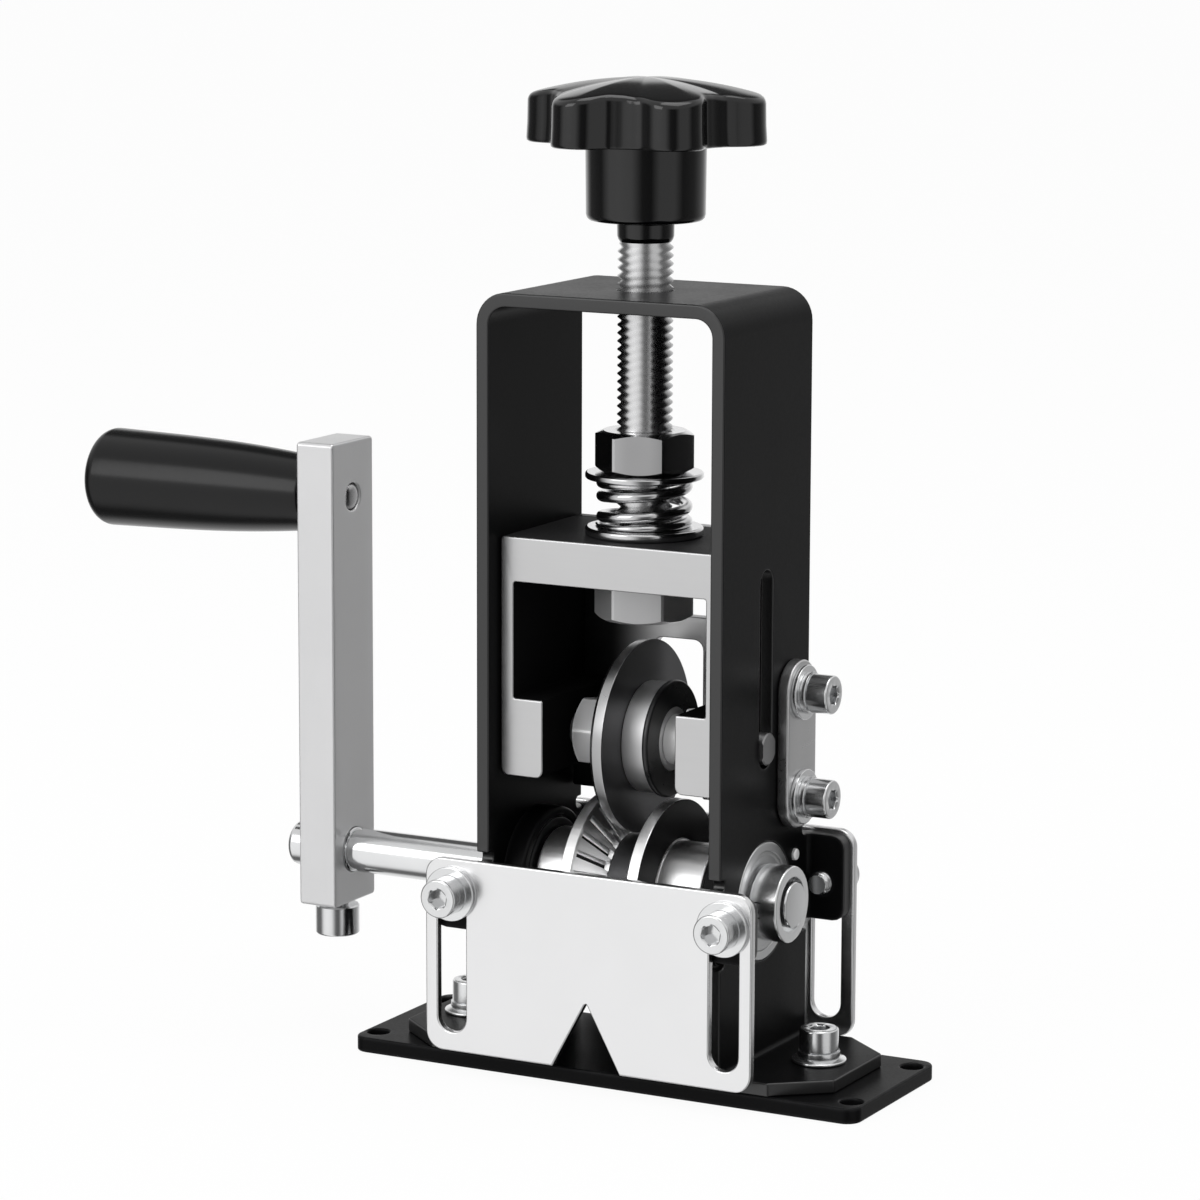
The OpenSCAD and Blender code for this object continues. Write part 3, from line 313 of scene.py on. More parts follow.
def piece(name, shapes, finishes, body, nodes, sharp=38):
    """One object from shapes and their seats, riding on a body in place of its nodes."""
    whole = bmesh.new()
    for shape, seats in shapes:
        loose = bpy.data.meshes.new("loose")
        shape.to_mesh(loose)
        for place in seats:
            copy = loose.copy()
            copy.transform(place)
            whole.from_mesh(copy)
            bpy.data.meshes.remove(copy)
        bpy.data.meshes.remove(loose)
        shape.free()
    bmesh.ops.scale(whole, vec=(MM, MM, MM), verts=whole.verts)
    bmesh.ops.recalc_face_normals(whole, faces=whole.faces)
    for face in whole.faces:
        face.smooth = True
    mesh = bpy.data.meshes.new(name)
    whole.to_mesh(mesh)
    whole.free()
    mesh.set_sharp_from_angle(angle=math.radians(sharp))
    for finish in finishes:
        mesh.materials.append(finish)
    made = bpy.data.objects.new(name, mesh)
    bpy.context.scene.collection.objects.link(made)
    even = made.modifiers.new("even shading", "WEIGHTED_NORMAL")
    even.keep_sharp = True
    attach(made, body)
    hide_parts(*nodes)
    return made


def effect(name, inputs, outputs):
    """A shader node group with named sockets. Returns it with its input and output nodes."""
    group = bpy.data.node_groups.new(name, "ShaderNodeTree")
    for label, kind, value in inputs:
        socket = group.interface.new_socket(label, in_out="INPUT", socket_type="NodeSocket" + kind)
        socket.default_value = value
    for label, kind in outputs:
        group.interface.new_socket(label, in_out="OUTPUT", socket_type="NodeSocket" + kind)
    return group, group.nodes.new("NodeGroupInput"), group.nodes.new("NodeGroupOutput")


grain, given, made = effect(
    "grain",
    [
        ("Fineness", "Float", 1000.0), ("Stretch", "Vector", (1, 1, 1)), ("Low", "Float", 0.2),
        ("High", "Float", 0.4)
    ],
    [("Roughness", "Float"), ("Height", "Float"), ("Cloud", "Float")]
)
spot = wired(grain, "ShaderNodeTexCoord").outputs["Object"]
drawn_out = wired(
    grain, "ShaderNodeVectorMath", {0: spot, 1: given.outputs["Stretch"]}, operation="MULTIPLY"
)
fine = wired(
    grain, "ShaderNodeTexNoise",
    {"Vector": drawn_out.outputs[0], "Scale": given.outputs["Fineness"], "Detail": 3.0}
)
broad = wired(grain, "ShaderNodeTexNoise", {"Vector": spot, "Scale": 60.0, "Detail": 2.0})
both = maths(
    grain, "ADD", maths(grain, "MULTIPLY", fine.outputs[0], 0.6),
    maths(grain, "MULTIPLY", broad.outputs[0], 0.4)
)
spread = wired(
    grain, "ShaderNodeMapRange",
    {0: both, 1: 0.3, 2: 0.7, 3: given.outputs["Low"], 4: given.outputs["High"]}
)
grain.links.new(spread.outputs[0], made.inputs["Roughness"])
grain.links.new(fine.outputs[0], made.inputs["Height"])
grain.links.new(broad.outputs[0], made.inputs["Cloud"])

# Lightens the colour along edges, in patches: partly wear, partly a painted highlight on the edges.
worn_and_highlit_edges, given, made = effect(
    "worn and highlit edges", [("Width", "Float", 0.0005), ("Amount", "Float", 1.0)], [("Mask", "Float")]
)
softened = wired(worn_and_highlit_edges, "ShaderNodeBevel", {0: given.outputs["Width"]}, samples=4)
true_way = wired(worn_and_highlit_edges, "ShaderNodeNewGeometry").outputs["Normal"]
agree = wired(
    worn_and_highlit_edges, "ShaderNodeVectorMath", {0: softened.outputs[0], 1: true_way}, operation="DOT_PRODUCT"
)
patchy = wired(
    worn_and_highlit_edges, "ShaderNodeTexNoise",
    {"Vector": wired(worn_and_highlit_edges, "ShaderNodeTexCoord").outputs["Object"], "Scale": 180.0, "Detail": 3.0}
)
turned_away = maths(
    worn_and_highlit_edges, "MULTIPLY", maths(worn_and_highlit_edges, "SUBTRACT", 1.0, agree.outputs["Value"]), 9.0, True
)
patched = maths(
    worn_and_highlit_edges, "MULTIPLY", turned_away, maths(worn_and_highlit_edges, "MULTIPLY", patchy.outputs[0], 1.6, True)
)
worn_and_highlit_edges.links.new(
    maths(worn_and_highlit_edges, "MULTIPLY", patched, given.outputs["Amount"], True), made.inputs["Mask"]
)


def finish(
    name, colour, metal, rough, fineness=900.0, stretch=(1, 1, 1), relief=0.0, edge_wear_and_highlight=None, cloud=0.12,
    sheen=0.5
):
    """A finish with grain in its gloss and relief, and lighter edges: partly wear, partly painted
    highlight.
    """
    made = bpy.data.materials.new(name)
    made.use_nodes = True
    tree = made.node_tree
    shader = tree.nodes["Principled BSDF"]
    shader.inputs["Metallic"].default_value = metal
    shader.inputs["Specular IOR Level"].default_value = sheen
    texture = wired(
        tree, "ShaderNodeGroup",
        {"Fineness": fineness, "Stretch": stretch, "Low": rough[0], "High": rough[1]}, node_tree=grain
    )
    tree.links.new(texture.outputs["Roughness"], shader.inputs["Roughness"])
    dim = tuple(c * (1 - cloud) for c in colour) + (1,)
    lit = tuple(min(1, c * (1 + cloud)) for c in colour) + (1,)
    shade = blend(tree, texture.outputs["Cloud"], dim, lit)
    if edge_wear_and_highlight:
        width, edge_colour, amount = edge_wear_and_highlight
        edges = wired(
            tree, "ShaderNodeGroup", {"Width": width * MM, "Amount": amount}, node_tree=worn_and_highlit_edges
        )
        shade = blend(tree, edges.outputs["Mask"], shade, edge_colour + (1,))
    tree.links.new(shade, shader.inputs["Base Color"])
    if relief:
        bump = wired(
            tree, "ShaderNodeBump",
            {"Strength": 1.0, "Distance": relief * MM, "Height": texture.outputs["Height"]}
        )
        tree.links.new(bump.outputs[0], shader.inputs["Normal"])
    return made


BLACK = (0.003, 0.003, 0.0033)
# The coat's edges are painted lighter: partly wear, partly painted highlight.
COAT_EDGE_WEAR_AND_HIGHLIGHT = (1.1, (0.04, 0.04, 0.042), 0.6)
coat = finish("black powder coat", BLACK, 0.0, (0.32, 0.4), 1400, relief=0.006, edge_wear_and_highlight=COAT_EDGE_WEAR_AND_HIGHLIGHT, sheen=0.07)
BASE_W, BASE_D, BASE_T = 123, 42.6, 3.5
SHAFT_Z = 40.3
FOOT_SCREW_X, BENCH_HOLE_X, BENCH_HOLE_Y = 43, 58, 15.5
TAPPED, CLEAR = 2.52, 2.7
base_holes = [ring_of_points(2.5, s * BENCH_HOLE_X, t * BENCH_HOLE_Y) for s in (-1, 1) for t in (-1, 1)]
base_holes += [ring_of_points(TAPPED, s * FOOT_SCREW_X, 0) for s in (-1, 1)]
base = cut_sheet(eased(rectangle(BASE_W, BASE_D, 3.5), 8), base_holes, 0, BASE_T, 0.45)
piece("base_plate_coated", [(base, [seat()])], [coat], "frame", ["base_plate"])

# Frame
# One strip of 3 mm sheet. Its slots, bearing seats and ears are cut flat, then it is bent
# into a tall hoop with two feet, the four ears are bent outwards, and it is powder coated.
SHEET = 3.0
WALL = 29.6
TOP = 171
HALF_DEPTH = 21.3
BEND_R = 4.0
FOOT_R = 1.0
TOP_FLAT = WALL - BEND_R - SHEET
TOP_BEND = (BEND_R + SHEET / 2) * math.pi / 2
WALL_START = TOP_FLAT + TOP_BEND
WALL_TOP_Z = TOP - BEND_R - SHEET
FOOT_BEND_Z = BASE_T + SHEET + FOOT_R
WALL_END = WALL_START + WALL_TOP_Z - FOOT_BEND_Z
FOOT_BEND = (FOOT_R + SHEET / 2) * math.pi / 2
FOOT_START = WALL_END + FOOT_BEND
EAR_FOLD = HALF_DEPTH - FOOT_R
EAR_BOTTOM, FRONT_EAR_TOP, BACK_EAR_TOP = 32, 46.5, 51.2
FOOT_REACH, FOOT_TAPER = 52.4, 41


def on_wall(z):
    """How far along the flat strip a height on the wall lies."""
    return WALL_START + WALL_TOP_Z - z


def on_foot(x):
    return FOOT_START + x - WALL - FOOT_R


def on_ear(x):
    return EAR_FOLD + FOOT_BEND + x - WALL - FOOT_R


def bent(point):
    """Where a point of the flat strip lies once every bend is made."""
    along, depth, inward = abs(point.x), point.y, point.z
    side = 1 if point.x >= 0 else -1
    if along <= TOP_FLAT:
        return Vector((point.x, depth, TOP - inward))
    if along < WALL_START:
        turn = (along - TOP_FLAT) / TOP_BEND * math.pi / 2
        reach = BEND_R + SHEET - inward
        return Vector(
            (side * (TOP_FLAT + reach * math.sin(turn)), depth, WALL_TOP_Z + reach * math.cos(turn))
        )
    if along <= WALL_END:
        z = WALL_TOP_Z - (along - WALL_START)
        past = abs(depth) - EAR_FOLD
        ear_top = BACK_EAR_TOP if depth > 0 else FRONT_EAR_TOP
        if past > 0 and EAR_BOTTOM - 0.001 <= z <= ear_top + 0.001:
            turn = min(past / FOOT_BEND, 1) * math.pi / 2
            reach = FOOT_R + inward
            x = WALL + FOOT_R - reach * math.cos(turn) + max(0, past - FOOT_BEND)
            y = EAR_FOLD + reach * math.sin(turn)
            return Vector((side * x, math.copysign(y, depth), z))
        return Vector((side * (WALL - inward), depth, z))
    turn = min((along - WALL_END) / FOOT_BEND, 1) * math.pi / 2
    reach = FOOT_R + inward
    x = WALL + FOOT_R - reach * math.cos(turn) + max(0, along - FOOT_START)
    return Vector((side * x, depth, FOOT_BEND_Z - reach * math.sin(turn)))


NOTCH = 2.4
ear_out = on_ear(38.6)


def quarter(ear_top):
    """A quarter of the strip's edge, from the notch over an ear down to the foot's end."""
    over, top, low, under = (on_wall(z) for z in (ear_top + NOTCH, ear_top, EAR_BOTTOM, EAR_BOTTOM - NOTCH))
    inner = HALF_DEPTH - NOTCH
    return [
        (over, HALF_DEPTH, 0.3), (over, inner, 1.0), (top, inner, 1.0), (top, ear_out, 3.0),
        (low, ear_out, 3.0), (low, inner, 1.0), (under, inner, 1.0), (under, HALF_DEPTH, 0.3),
        (on_foot(FOOT_TAPER), HALF_DEPTH, 1.0), (on_foot(FOOT_REACH), 12, 1.0)
    ]


behind_quarter, front_quarter = quarter(BACK_EAR_TOP), quarter(FRONT_EAR_TOP)
strip = behind_quarter + mirrored(front_quarter, 1, -1)
strip += [(-u, -v, r) for u, v, r in front_quarter] + mirrored(behind_quarter)
PLATE_SCREW_X = 33
AXLE_SLOT_LOW, AXLE_SLOT_TOP, AXLE_SLOT_W = 69.5, 112.6, 6
GUIDE_Y, GUIDE_Z = 12.3, 72.9
GUIDE_SCREWS = (GUIDE_Z - 11.5, GUIDE_Z + 11.5)
PIN_Y, PIN_Z = 15, 47.6
strip_holes = [ring_of_points(6.05, count=48)]
for side in (-1, 1):
    slot_at = side * on_wall((AXLE_SLOT_TOP + AXLE_SLOT_LOW) / 2)
    strip_holes.append(eased(rectangle(AXLE_SLOT_TOP - AXLE_SLOT_LOW, AXLE_SLOT_W, 2.99, slot_at, 0), 10))
    strip_holes.append(ring_of_points(13.0, side * on_wall(SHAFT_Z), 0, 72))
    strip_holes.append(ring_of_points(CLEAR, side * on_foot(FOOT_SCREW_X), 0))
    strip_holes += [
        ring_of_points(TAPPED, side * on_wall(SHAFT_Z), s * on_ear(PLATE_SCREW_X), 28) for s in (-1, 1)
    ]
strip_holes += [ring_of_points(TAPPED, on_wall(z), GUIDE_Y, 28) for z in GUIDE_SCREWS]
strip_holes.append(ring_of_points(1.32, on_wall(PIN_Z), PIN_Y, 20))
hoop = cut_sheet(eased(strip), strip_holes, 0, SHEET, 0.4)
marked(hoop, lambda face, middle: abs(face.normal.z) < 0.9)
bends = ((TOP_FLAT, TOP_BEND, 10, 0), (WALL_END, FOOT_BEND, 6, 0), (EAR_FOLD, FOOT_BEND, 6, 1))
fold_lines = [
    (side * (start + length * k / steps), axis) for start, length, steps, axis in bends for side in (-1, 1)
    for k in range(steps + 1)
]
for place, axis in fold_lines:
    line = Vector((0, 0, 0))
    line[axis] = place
    across = Vector((1, 0, 0)) if axis == 0 else Vector((0, 1, 0))
    bmesh.ops.bisect_plane(
        hoop, geom=hoop.verts[:] + hoop.edges[:] + hoop.faces[:], plane_co=line, plane_no=across,
        dist=0.0001
    )
for corner in hoop.verts:
    corner.co = bent(corner.co)
thick_coat = finish("coat on cut edges", BLACK, 0.0, (0.3, 0.38), 1400, relief=0.004, sheen=0.8)
piece("frame_hoop", [(hoop, [seat()])], [coat, thick_coat], "frame", ["frame"])


# Foot screws
# Each foot is held down by an M5 cap screw with a socket, a split washer and a flat washer,
# all turned or stamped from steel and bright nickel plated.
def turned(profile, count=64):
    """A ring turned on a lathe from its closed outline of (radius, height) points."""
    return loft([level_row(full_turn(count), r, h) for r, h in profile], join=True)


def solid_turned(profile, count=64):
    """A solid turned part from the points of its outline, closed at both ends."""
    return loft([level_row(full_turn(count), r, h) for r, h in profile])


def washer(outer, bore, thick, edge=0.25):
    return turned(eased([(bore, 0, 0.1), (outer, 0, edge), (outer, thick, edge), (bore, thick, 0.12)], 3))


def split_washer(outer, bore, thick):
    """A washer cut through once, with a narrow gap between its two ends."""
    section = eased([(bore, 0, 0.1), (outer, 0, 0.15), (outer, thick, 0.15), (bore, thick, 0.1)], 2)
    count, gap = 48, 0.12
    rows = []
    for k in range(count + 1):
        a = 0.6 + gap / 2 + (2 * math.pi - gap) * k / count
        rows.append([(p.x * math.cos(a), p.x * math.sin(a), p.y) for p in section])
    return loft(rows)


def thread(diameter, pitch, low, high, depth=None, count=40):
    """A threaded bar between two heights, its thread running out at both ends."""
    depth = depth or 0.54 * pitch
    shape = bmesh.new()
    marks = [(0.0, 1.0), (0.14, 1.0), (0.5, 0.0), (0.64, 0.0)]
    rows = int((high - low) / pitch + 3) * len(marks)
    columns = []
    for i in range(count):
        a = 2 * math.pi * i / count
        column = []
        for k in range(rows):
            part, crest = marks[k % len(marks)]
            z = low - pitch + (k // len(marks) + part + i / count) * pitch
            room_left = max(0.0, min(1.0, (z - low) / pitch, (high - z) / pitch))
            r = diameter / 2 - depth + depth * min(crest, room_left)
            z = min(max(z, low), high)
            column.append(shape.verts.new((r * math.cos(a), r * math.sin(a), z)))
        columns.append(column)
    for i in range(count):
        left, right = columns[i], columns[(i + 1) % count]
        shift = len(marks) if i == count - 1 else 0
        for k in range(rows - 1):
            n = k + shift
            if n + 1 < rows:
                shape.faces.new((left[k], right[n], right[n + 1], left[k + 1]))
    bmesh.ops.remove_doubles(shape, verts=shape.verts, dist=0.0005)
    bmesh.ops.holes_fill(shape, edges=[e for e in shape.edges if e.is_boundary], sides=0)
    return shape


def six_flats(across, turns):
    """How far the six flats of a socket or nut are from its middle at each angle."""
    return [across / 2 / math.cos(a % (math.pi / 3) - math.pi / 6) for a in turns]


def socket_head(width, height, across, depth):
    """The head of a cap screw with a six-sided socket, standing on its own zero height."""
    turns = full_turn(48)
    r = width / 2
    edge = 0.09 * height
    profile = [(r - 0.3, 0), (r, 0.3), (r, height - edge)]
    profile += [
        (r - edge * (1 - math.cos(a)), height - edge + edge * math.sin(a)) for a in (0.5, 1.05, math.pi / 2)
    ]
    profile.append((across / 2 / math.cos(math.pi / 6) + 0.12, height))
    rows = [level_row(turns, p, h) for p, h in profile]
    for shrink, h in ((0.99, height - 0.3), (0.96, height - depth)):
        rows.append(level_row(turns, [f * shrink for f in six_flats(across, turns)], h))
    return loft(rows)


NICKEL = (0.74, 0.745, 0.75)
bright = finish("bright nickel", NICKEL, 1.0, (0.14, 0.24), 2000, relief=0.0005)
M5 = {"head": (8.5, 5.0, 4, 2.6), "thread": (5.0, 0.8)}
M6 = {"head": (10, 6.8, 5, 3), "thread": (6.0, 1.0)}
SOCKET_TURN = 19
WASHER_T, SPLIT_T, M5_WASHER_R = 1.2, 1.3, 6.0
FOOT_TOP = BASE_T + SHEET
foot_washer = turned(
    eased(
        [
            (CLEAR, 0, 0.1), (M5_WASHER_R, 0, 0.25), (M5_WASHER_R, 0.7, 0.3), (4.6, WASHER_T, 0.5),
            (CLEAR, WASHER_T, 0.12)
        ],
        3
    )
)
foot_places = [(s * FOOT_SCREW_X, 0) for s in (-1, 1)]


def at_feet(z, spin=0.0):
    return [seat(x, y, z, spin=spin) for x, y in foot_places]


def fasteners(name, shape, seats, node):
    """One kind of bright fastener of a joint, on the frame."""
    piece(name, [(shape, seats)], [bright], "frame", [node])


def cap_screws(name, size, low, at, node, body="frame"):
    """The cap screws of a joint. at(spin) gives their seats, low is each thread's end."""
    shapes = [(socket_head(*size["head"]), at(SOCKET_TURN)), (thread(*size["thread"], low, 0.05), at(0))]
    piece(name, shapes, [bright], body, [node])


fasteners("foot_washer_pair", foot_washer, at_feet(FOOT_TOP), "foot_washers")
fasteners(
    "foot_split_washers", split_washer(4.6, CLEAR, SPLIT_T), at_feet(FOOT_TOP + WASHER_T),
    "foot_lock_washers"
)
screw_seat = FOOT_TOP + WASHER_T + SPLIT_T
cap_screws("foot_cap_screws", M5, 0.5 - screw_seat, lambda spin: at_feet(screw_seat, spin), "foot_screws")

# Bearings
# A black ring is welded inside each wall, and a ball bearing of 10 x 26 x 8 mm is pressed
# into each: ground rings, pressed steel shields, and balls in a thin cage behind them.
ring_steel = finish("ground bearing steel", (0.72, 0.725, 0.73), 1.0, (0.34, 0.38), 900, cloud=0.03)
shield_steel = finish("pressed shield", (0.68, 0.685, 0.69), 1.0, (0.34, 0.4), 900, cloud=0.03)
# Near-black steel, used as painted shade on faces that look into the frame and into the wheels' slots.
painted_shade_steel = finish(
    "dark steel for painted shade", (0.016, 0.016, 0.017), 0.2, (0.36, 0.44), 1500, relief=0.001, sheen=0.2
)
BEARING_T, SHAFT_BORE = 8.0, 5.02
BEARING_IN = WALL - BEARING_T
boss = eased(
    [(13.0, BEARING_IN, 0.4), (15.2, BEARING_IN, 0.6), (15.2, WALL - SHEET, 0), (13.0, WALL - SHEET, 0)], 3
)
piece(
    "bearing_boss_rings", [(turned(boss, 96), [seat(0, 0, SHAFT_Z, way) for way in ("x", "-x")])], [coat],
    "frame", ["bearing_bosses"]
)


def faces_inward(face, middle):
    """Whether a face of a bearing looks at the wheels; these faces are coloured near black as painted
    shade.
    """
    return middle.z < 0.2


for side, word in ((-1, "left"), (1, "right")):
    place = [seat(side * BEARING_IN, 0, SHAFT_Z, "x" if side > 0 else "-x")]
    outer_ring = [
        (10.8, 0, 0.3), (12.98, 0, 0.5), (12.98, 8, 0.5), (10.8, 8, 0.3), (10.8, 7.4, 0), (10.3, 7.4, 0),
        (10.3, 0.6, 0), (10.8, 0.6, 0)
    ]
    inner_ring = [(SHAFT_BORE, 0, 0.4), (7.2, 0, 0.3), (7.2, 8, 0.3), (SHAFT_BORE, 8, 0.4)]
    piece(
        f"{word}_outer_ring", [(marked(turned(eased(outer_ring, 3), 96), faces_inward), place)],
        [ring_steel, painted_shade_steel], "frame", [f"{word}_bearing_outer"]
    )
    piece(
        f"{word}_inner_ring", [(marked(turned(eased(inner_ring, 3), 72), faces_inward), place)],
        [ring_steel, painted_shade_steel], "drive", [f"{word}_bearing_inner"]
    )
    shield = [
        (7.25, 0.2, 0), (7.7, 0.2, 0.1), (8.1, 0.35, 0.2), (9.9, 0.35, 0.2), (10.3, 0.2, 0.1),
        (10.75, 0.2, 0)
    ]
    back = [(r, z + 0.6, e) for r, z, e in reversed(shield)]
    far_side = place[0] @ Matrix.Translation((0, 0, BEARING_T)) @ Matrix.Rotation(math.pi, 4, "X")
    # The inner shield faces the wheels and is coloured near black all over as painted shade.
    inner_shield = marked(turned(eased(shield + back, 2), 72), lambda face, middle: True)
    piece(
        f"{word}_shields", [(inner_shield, place), (turned(eased(shield + back, 2), 72), [far_side])],
        [shield_steel, painted_shade_steel], "frame", [f"{word}_bearing_seals"]
    )
    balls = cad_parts[f"{word}_bearing_balls"]
    balls.data.materials.clear()
    balls.data.materials.append(ring_steel)

# Drive shaft
# A steel bar of 10 mm, ground and then plated, with round ends. A thin neck is turned into
# it beside the crank.
plated = finish(
    "polished plate", (0.74, 0.745, 0.75), 1.0, (0.1, 0.18), 1600, stretch=(0.15, 1, 1), relief=0.0004
)
SHAFT_END, FREE_END = -88.5, 37.1
NECK = -73.0
shaft_profile = [
    (3.4, SHAFT_END), (4.2, SHAFT_END + 0.2), (4.8, SHAFT_END + 0.7), (5.0, SHAFT_END + 1.4),
    (5.0, NECK - 0.1), (4.9, NECK), (4.5, NECK + 0.15), (4.5, NECK + 1.85), (4.9, NECK + 2.0),
    (5.0, NECK + 2.1), (5.0, FREE_END - 0.5), (4.9, FREE_END - 0.15), (4.7, FREE_END)
]
shaft_seat = seat(0, 0, SHAFT_Z, "x")
piece(
    "shaft_bar", [(solid_turned(shaft_profile, 80), [shaft_seat])], [plated], "drive",
    ["drive_shaft"]
)

# Toothed wheels
# Two cones turned from steel face each other and make the groove for the cable. Straight
# slots are milled across each cone so that it grips, a dark ring between them makes the
# groove's floor, and a grub screw holds each hub.
wheel_steel = finish("hardened wheel steel", (0.9, 0.9, 0.905), 1.0, (0.3, 0.36), 1300, relief=0.0005)
GROOVE_X, GROOVE_HALF, RIM_R, FLOOR_R, FLOOR_HALF, RIM_W = -0.8, 6.9, 20.0, 11.5, 2.2, 2.6
HUB_R, HUB_END = 11.0, 20.2
TEETH, SLOT_W, SLOT_DEPTH, TOOTH_TURN = 26, 1.8, 1.3, 4.25
# Only the middle of each slot's floor, this share of the slot's width, is coloured near black as painted
# shade.
SLOT_PAINTED_SHADE = 0.22
slope = (GROOVE_HALF - FLOOR_HALF) / (RIM_R - FLOOR_R)
RIM_END = GROOVE_HALF + RIM_W
cone_out = Vector((slope, -1)).normalized()


def wheel_row(r, h, cut=0.0):
    """One ring of the wheel. The points of each slot lie deeper by the cut."""
    row = []
    for tooth in range(TEETH):
        middle = 2 * math.pi * tooth / TEETH + math.pi / 2
        for offset, deep in ((-0.51, 0), (-0.46, 1), (-SLOT_PAINTED_SHADE, 1), (SLOT_PAINTED_SHADE, 1), (0.46, 1), (0.51, 0)):
            wide = SLOT_W * offset
            a = middle + math.asin(wide / max(r, 4))
            rr, hh = r - cone_out.x * cut * deep, h - cone_out.y * cut * deep
            row.append((rr * math.cos(a), rr * math.sin(a), hh))
        half = middle + math.pi / TEETH
        edge = math.asin(SLOT_W * 0.51 / max(r, 4))
        for part in (0.35, 0.65):
            a = middle + edge + (2 * (half - middle - edge)) * part
            row.append((r * math.cos(a), r * math.sin(a), h))
    return row


wheel_rows = [
    wheel_row(SHAFT_BORE, FLOOR_HALF + 0.3), wheel_row(5.3, FLOOR_HALF),
    wheel_row(FLOOR_R - 0.5, FLOOR_HALF)
]
for r, cut in (
    (11.55, 0.8), (11.8, 1.0), (14, 1.0), (16.5, 1.0), (18.6, 1.0), (19.1, 0.6), (19.35, 0.0), (19.8, 0.0)
):
    wheel_rows.append(wheel_row(r, FLOOR_HALF + (r - FLOOR_R) * slope, cut * SLOT_DEPTH))
wheel_rows += [
    wheel_row(r, h)
    for r, h in (
        (20.0, GROOVE_HALF + 0.1), (20.0, RIM_END - 0.35), (19.9, RIM_END - 0.1), (19.65, RIM_END),
        (HUB_R + 0.5, RIM_END), (HUB_R + 0.12, RIM_END + 0.12), (HUB_R, RIM_END + 0.5),
        (HUB_R, HUB_END - 0.6), (HUB_R - 0.2, HUB_END - 0.15), (HUB_R - 0.6, HUB_END), (5.3, HUB_END),
        (SHAFT_BORE, HUB_END - 0.3)
    )
]


def in_painted_shade(face, middle):
    """Whether a face of a wheel lies along a slot's middle or on the wheel's outer side. These faces are
    coloured near black as painted shade.
    """
    r = middle.xy.length
    a = math.atan2(middle.y, middle.x) - math.pi / 2
    step = 2 * math.pi / TEETH
    off_middle = abs((a + step / 2) % step - step / 2) * r
    in_slot = FLOOR_R < r < RIM_R - 0.7 and off_middle < SLOT_W * SLOT_PAINTED_SHADE
    return (in_slot and middle.z < GROOVE_HALF + 0.5) or (
        r > HUB_R + 0.5 and abs(middle.z - RIM_END) < 0.06
    )


for side, word in ((1, "right"), (-1, "left")):
    place = (
        Matrix.Translation((GROOVE_X, 0, SHAFT_Z)) @ Matrix.Rotation(math.radians(TOOTH_TURN), 4, "X")
        @ Matrix(((0, 0, side, 0), (1, 0, 0, 0), (0, 1, 0, 0), (0, 0, 0, 1)))
    )
    piece(
        f"{word}_cone_wheel", [(marked(loft(wheel_rows, join=True), in_painted_shade), [place])],
        [wheel_steel, painted_shade_steel], "drive", [f"{word}_wheel"], sharp=32
    )
ring_profile = [
    (SHAFT_BORE, -FLOOR_HALF, 0.2), (FLOOR_R, -FLOOR_HALF, 0), (FLOOR_R, FLOOR_HALF, 0),
    (SHAFT_BORE, FLOOR_HALF, 0.2)
]
dark_steel = finish("blackened steel", (0.05, 0.05, 0.052), 0.9, (0.3, 0.42), 1500, relief=0.001)
piece(
    "groove_floor_ring", [(turned(eased(ring_profile, 2), 96), [seat(GROOVE_X, 0, SHAFT_Z, "x")])],
    [dark_steel], "drive", ["groove_ring"]
)
spacer_spans = [(-BEARING_IN, GROOVE_X - HUB_END), (GROOVE_X + HUB_END, BEARING_IN)]
piece(
    "shaft_spacers",
    [
        (
            turned(eased([(SHAFT_BORE, a, 0.1), (7, a, 0.2), (7, b, 0.2), (SHAFT_BORE, b, 0.1)], 2)),
            [shaft_seat]
        )
        for a, b in spacer_spans
    ],
    [plated], "drive", ["wheel_spacers"]
)


def grub_screw(top):
    """A headless screw from the shaft up, its six-sided socket at the top."""
    turns = full_turn(36)
    profile = ((1.5, SHAFT_BORE), (2, SHAFT_BORE + 0.5), (2, top - 0.2), (1.8, top), (1.35, top))
    rows = [level_row(turns, r, h) for r, h in profile]
    rows += [level_row(turns, six_flats(2, turns), h) for h in (top - 0.1, top - 1.6)]
    return loft(rows)


hub_middle = (RIM_END + HUB_END) / 2
piece(
    "hub_grub_screws",
    [(grub_screw(HUB_R - 0.3), [seat(GROOVE_X + s * hub_middle, 0, SHAFT_Z) for s in (-1, 1)])],
    [dark_steel], "drive", ["wheel_grub_screws"]
)

# Shaft collar
# A turned steel ring holds the shaft's right end, and a grub screw locks it there. Its face
# is bored out a little round the shaft.
COLLAR_X, COLLAR_L, COLLAR_R = 29.9, 6.4, 8.35
polished_steel = finish("polished collar steel", (0.86, 0.865, 0.87), 1.0, (0.22, 0.26), 900, cloud=0.03)
collar_profile = [
    (SHAFT_BORE, 0, 0.3), (COLLAR_R, 0, 0.4), (COLLAR_R, COLLAR_L, 0.45), (6.0, COLLAR_L, 0.15),
    (6.0, COLLAR_L - 2.4, 0), (SHAFT_BORE, COLLAR_L - 2.4, 0)
]
piece(
    "end_collar", [(turned(eased(collar_profile, 3), 80), [seat(COLLAR_X, 0, SHAFT_Z, "x")])],
    [polished_steel], "drive", ["shaft_collar"]
)
piece(
    "collar_grub", [(grub_screw(COLLAR_R - 0.15), [seat(COLLAR_X + 2, 0, SHAFT_Z, "-y")])], [dark_steel],
    "drive", ["collar_grub_screw"]
)

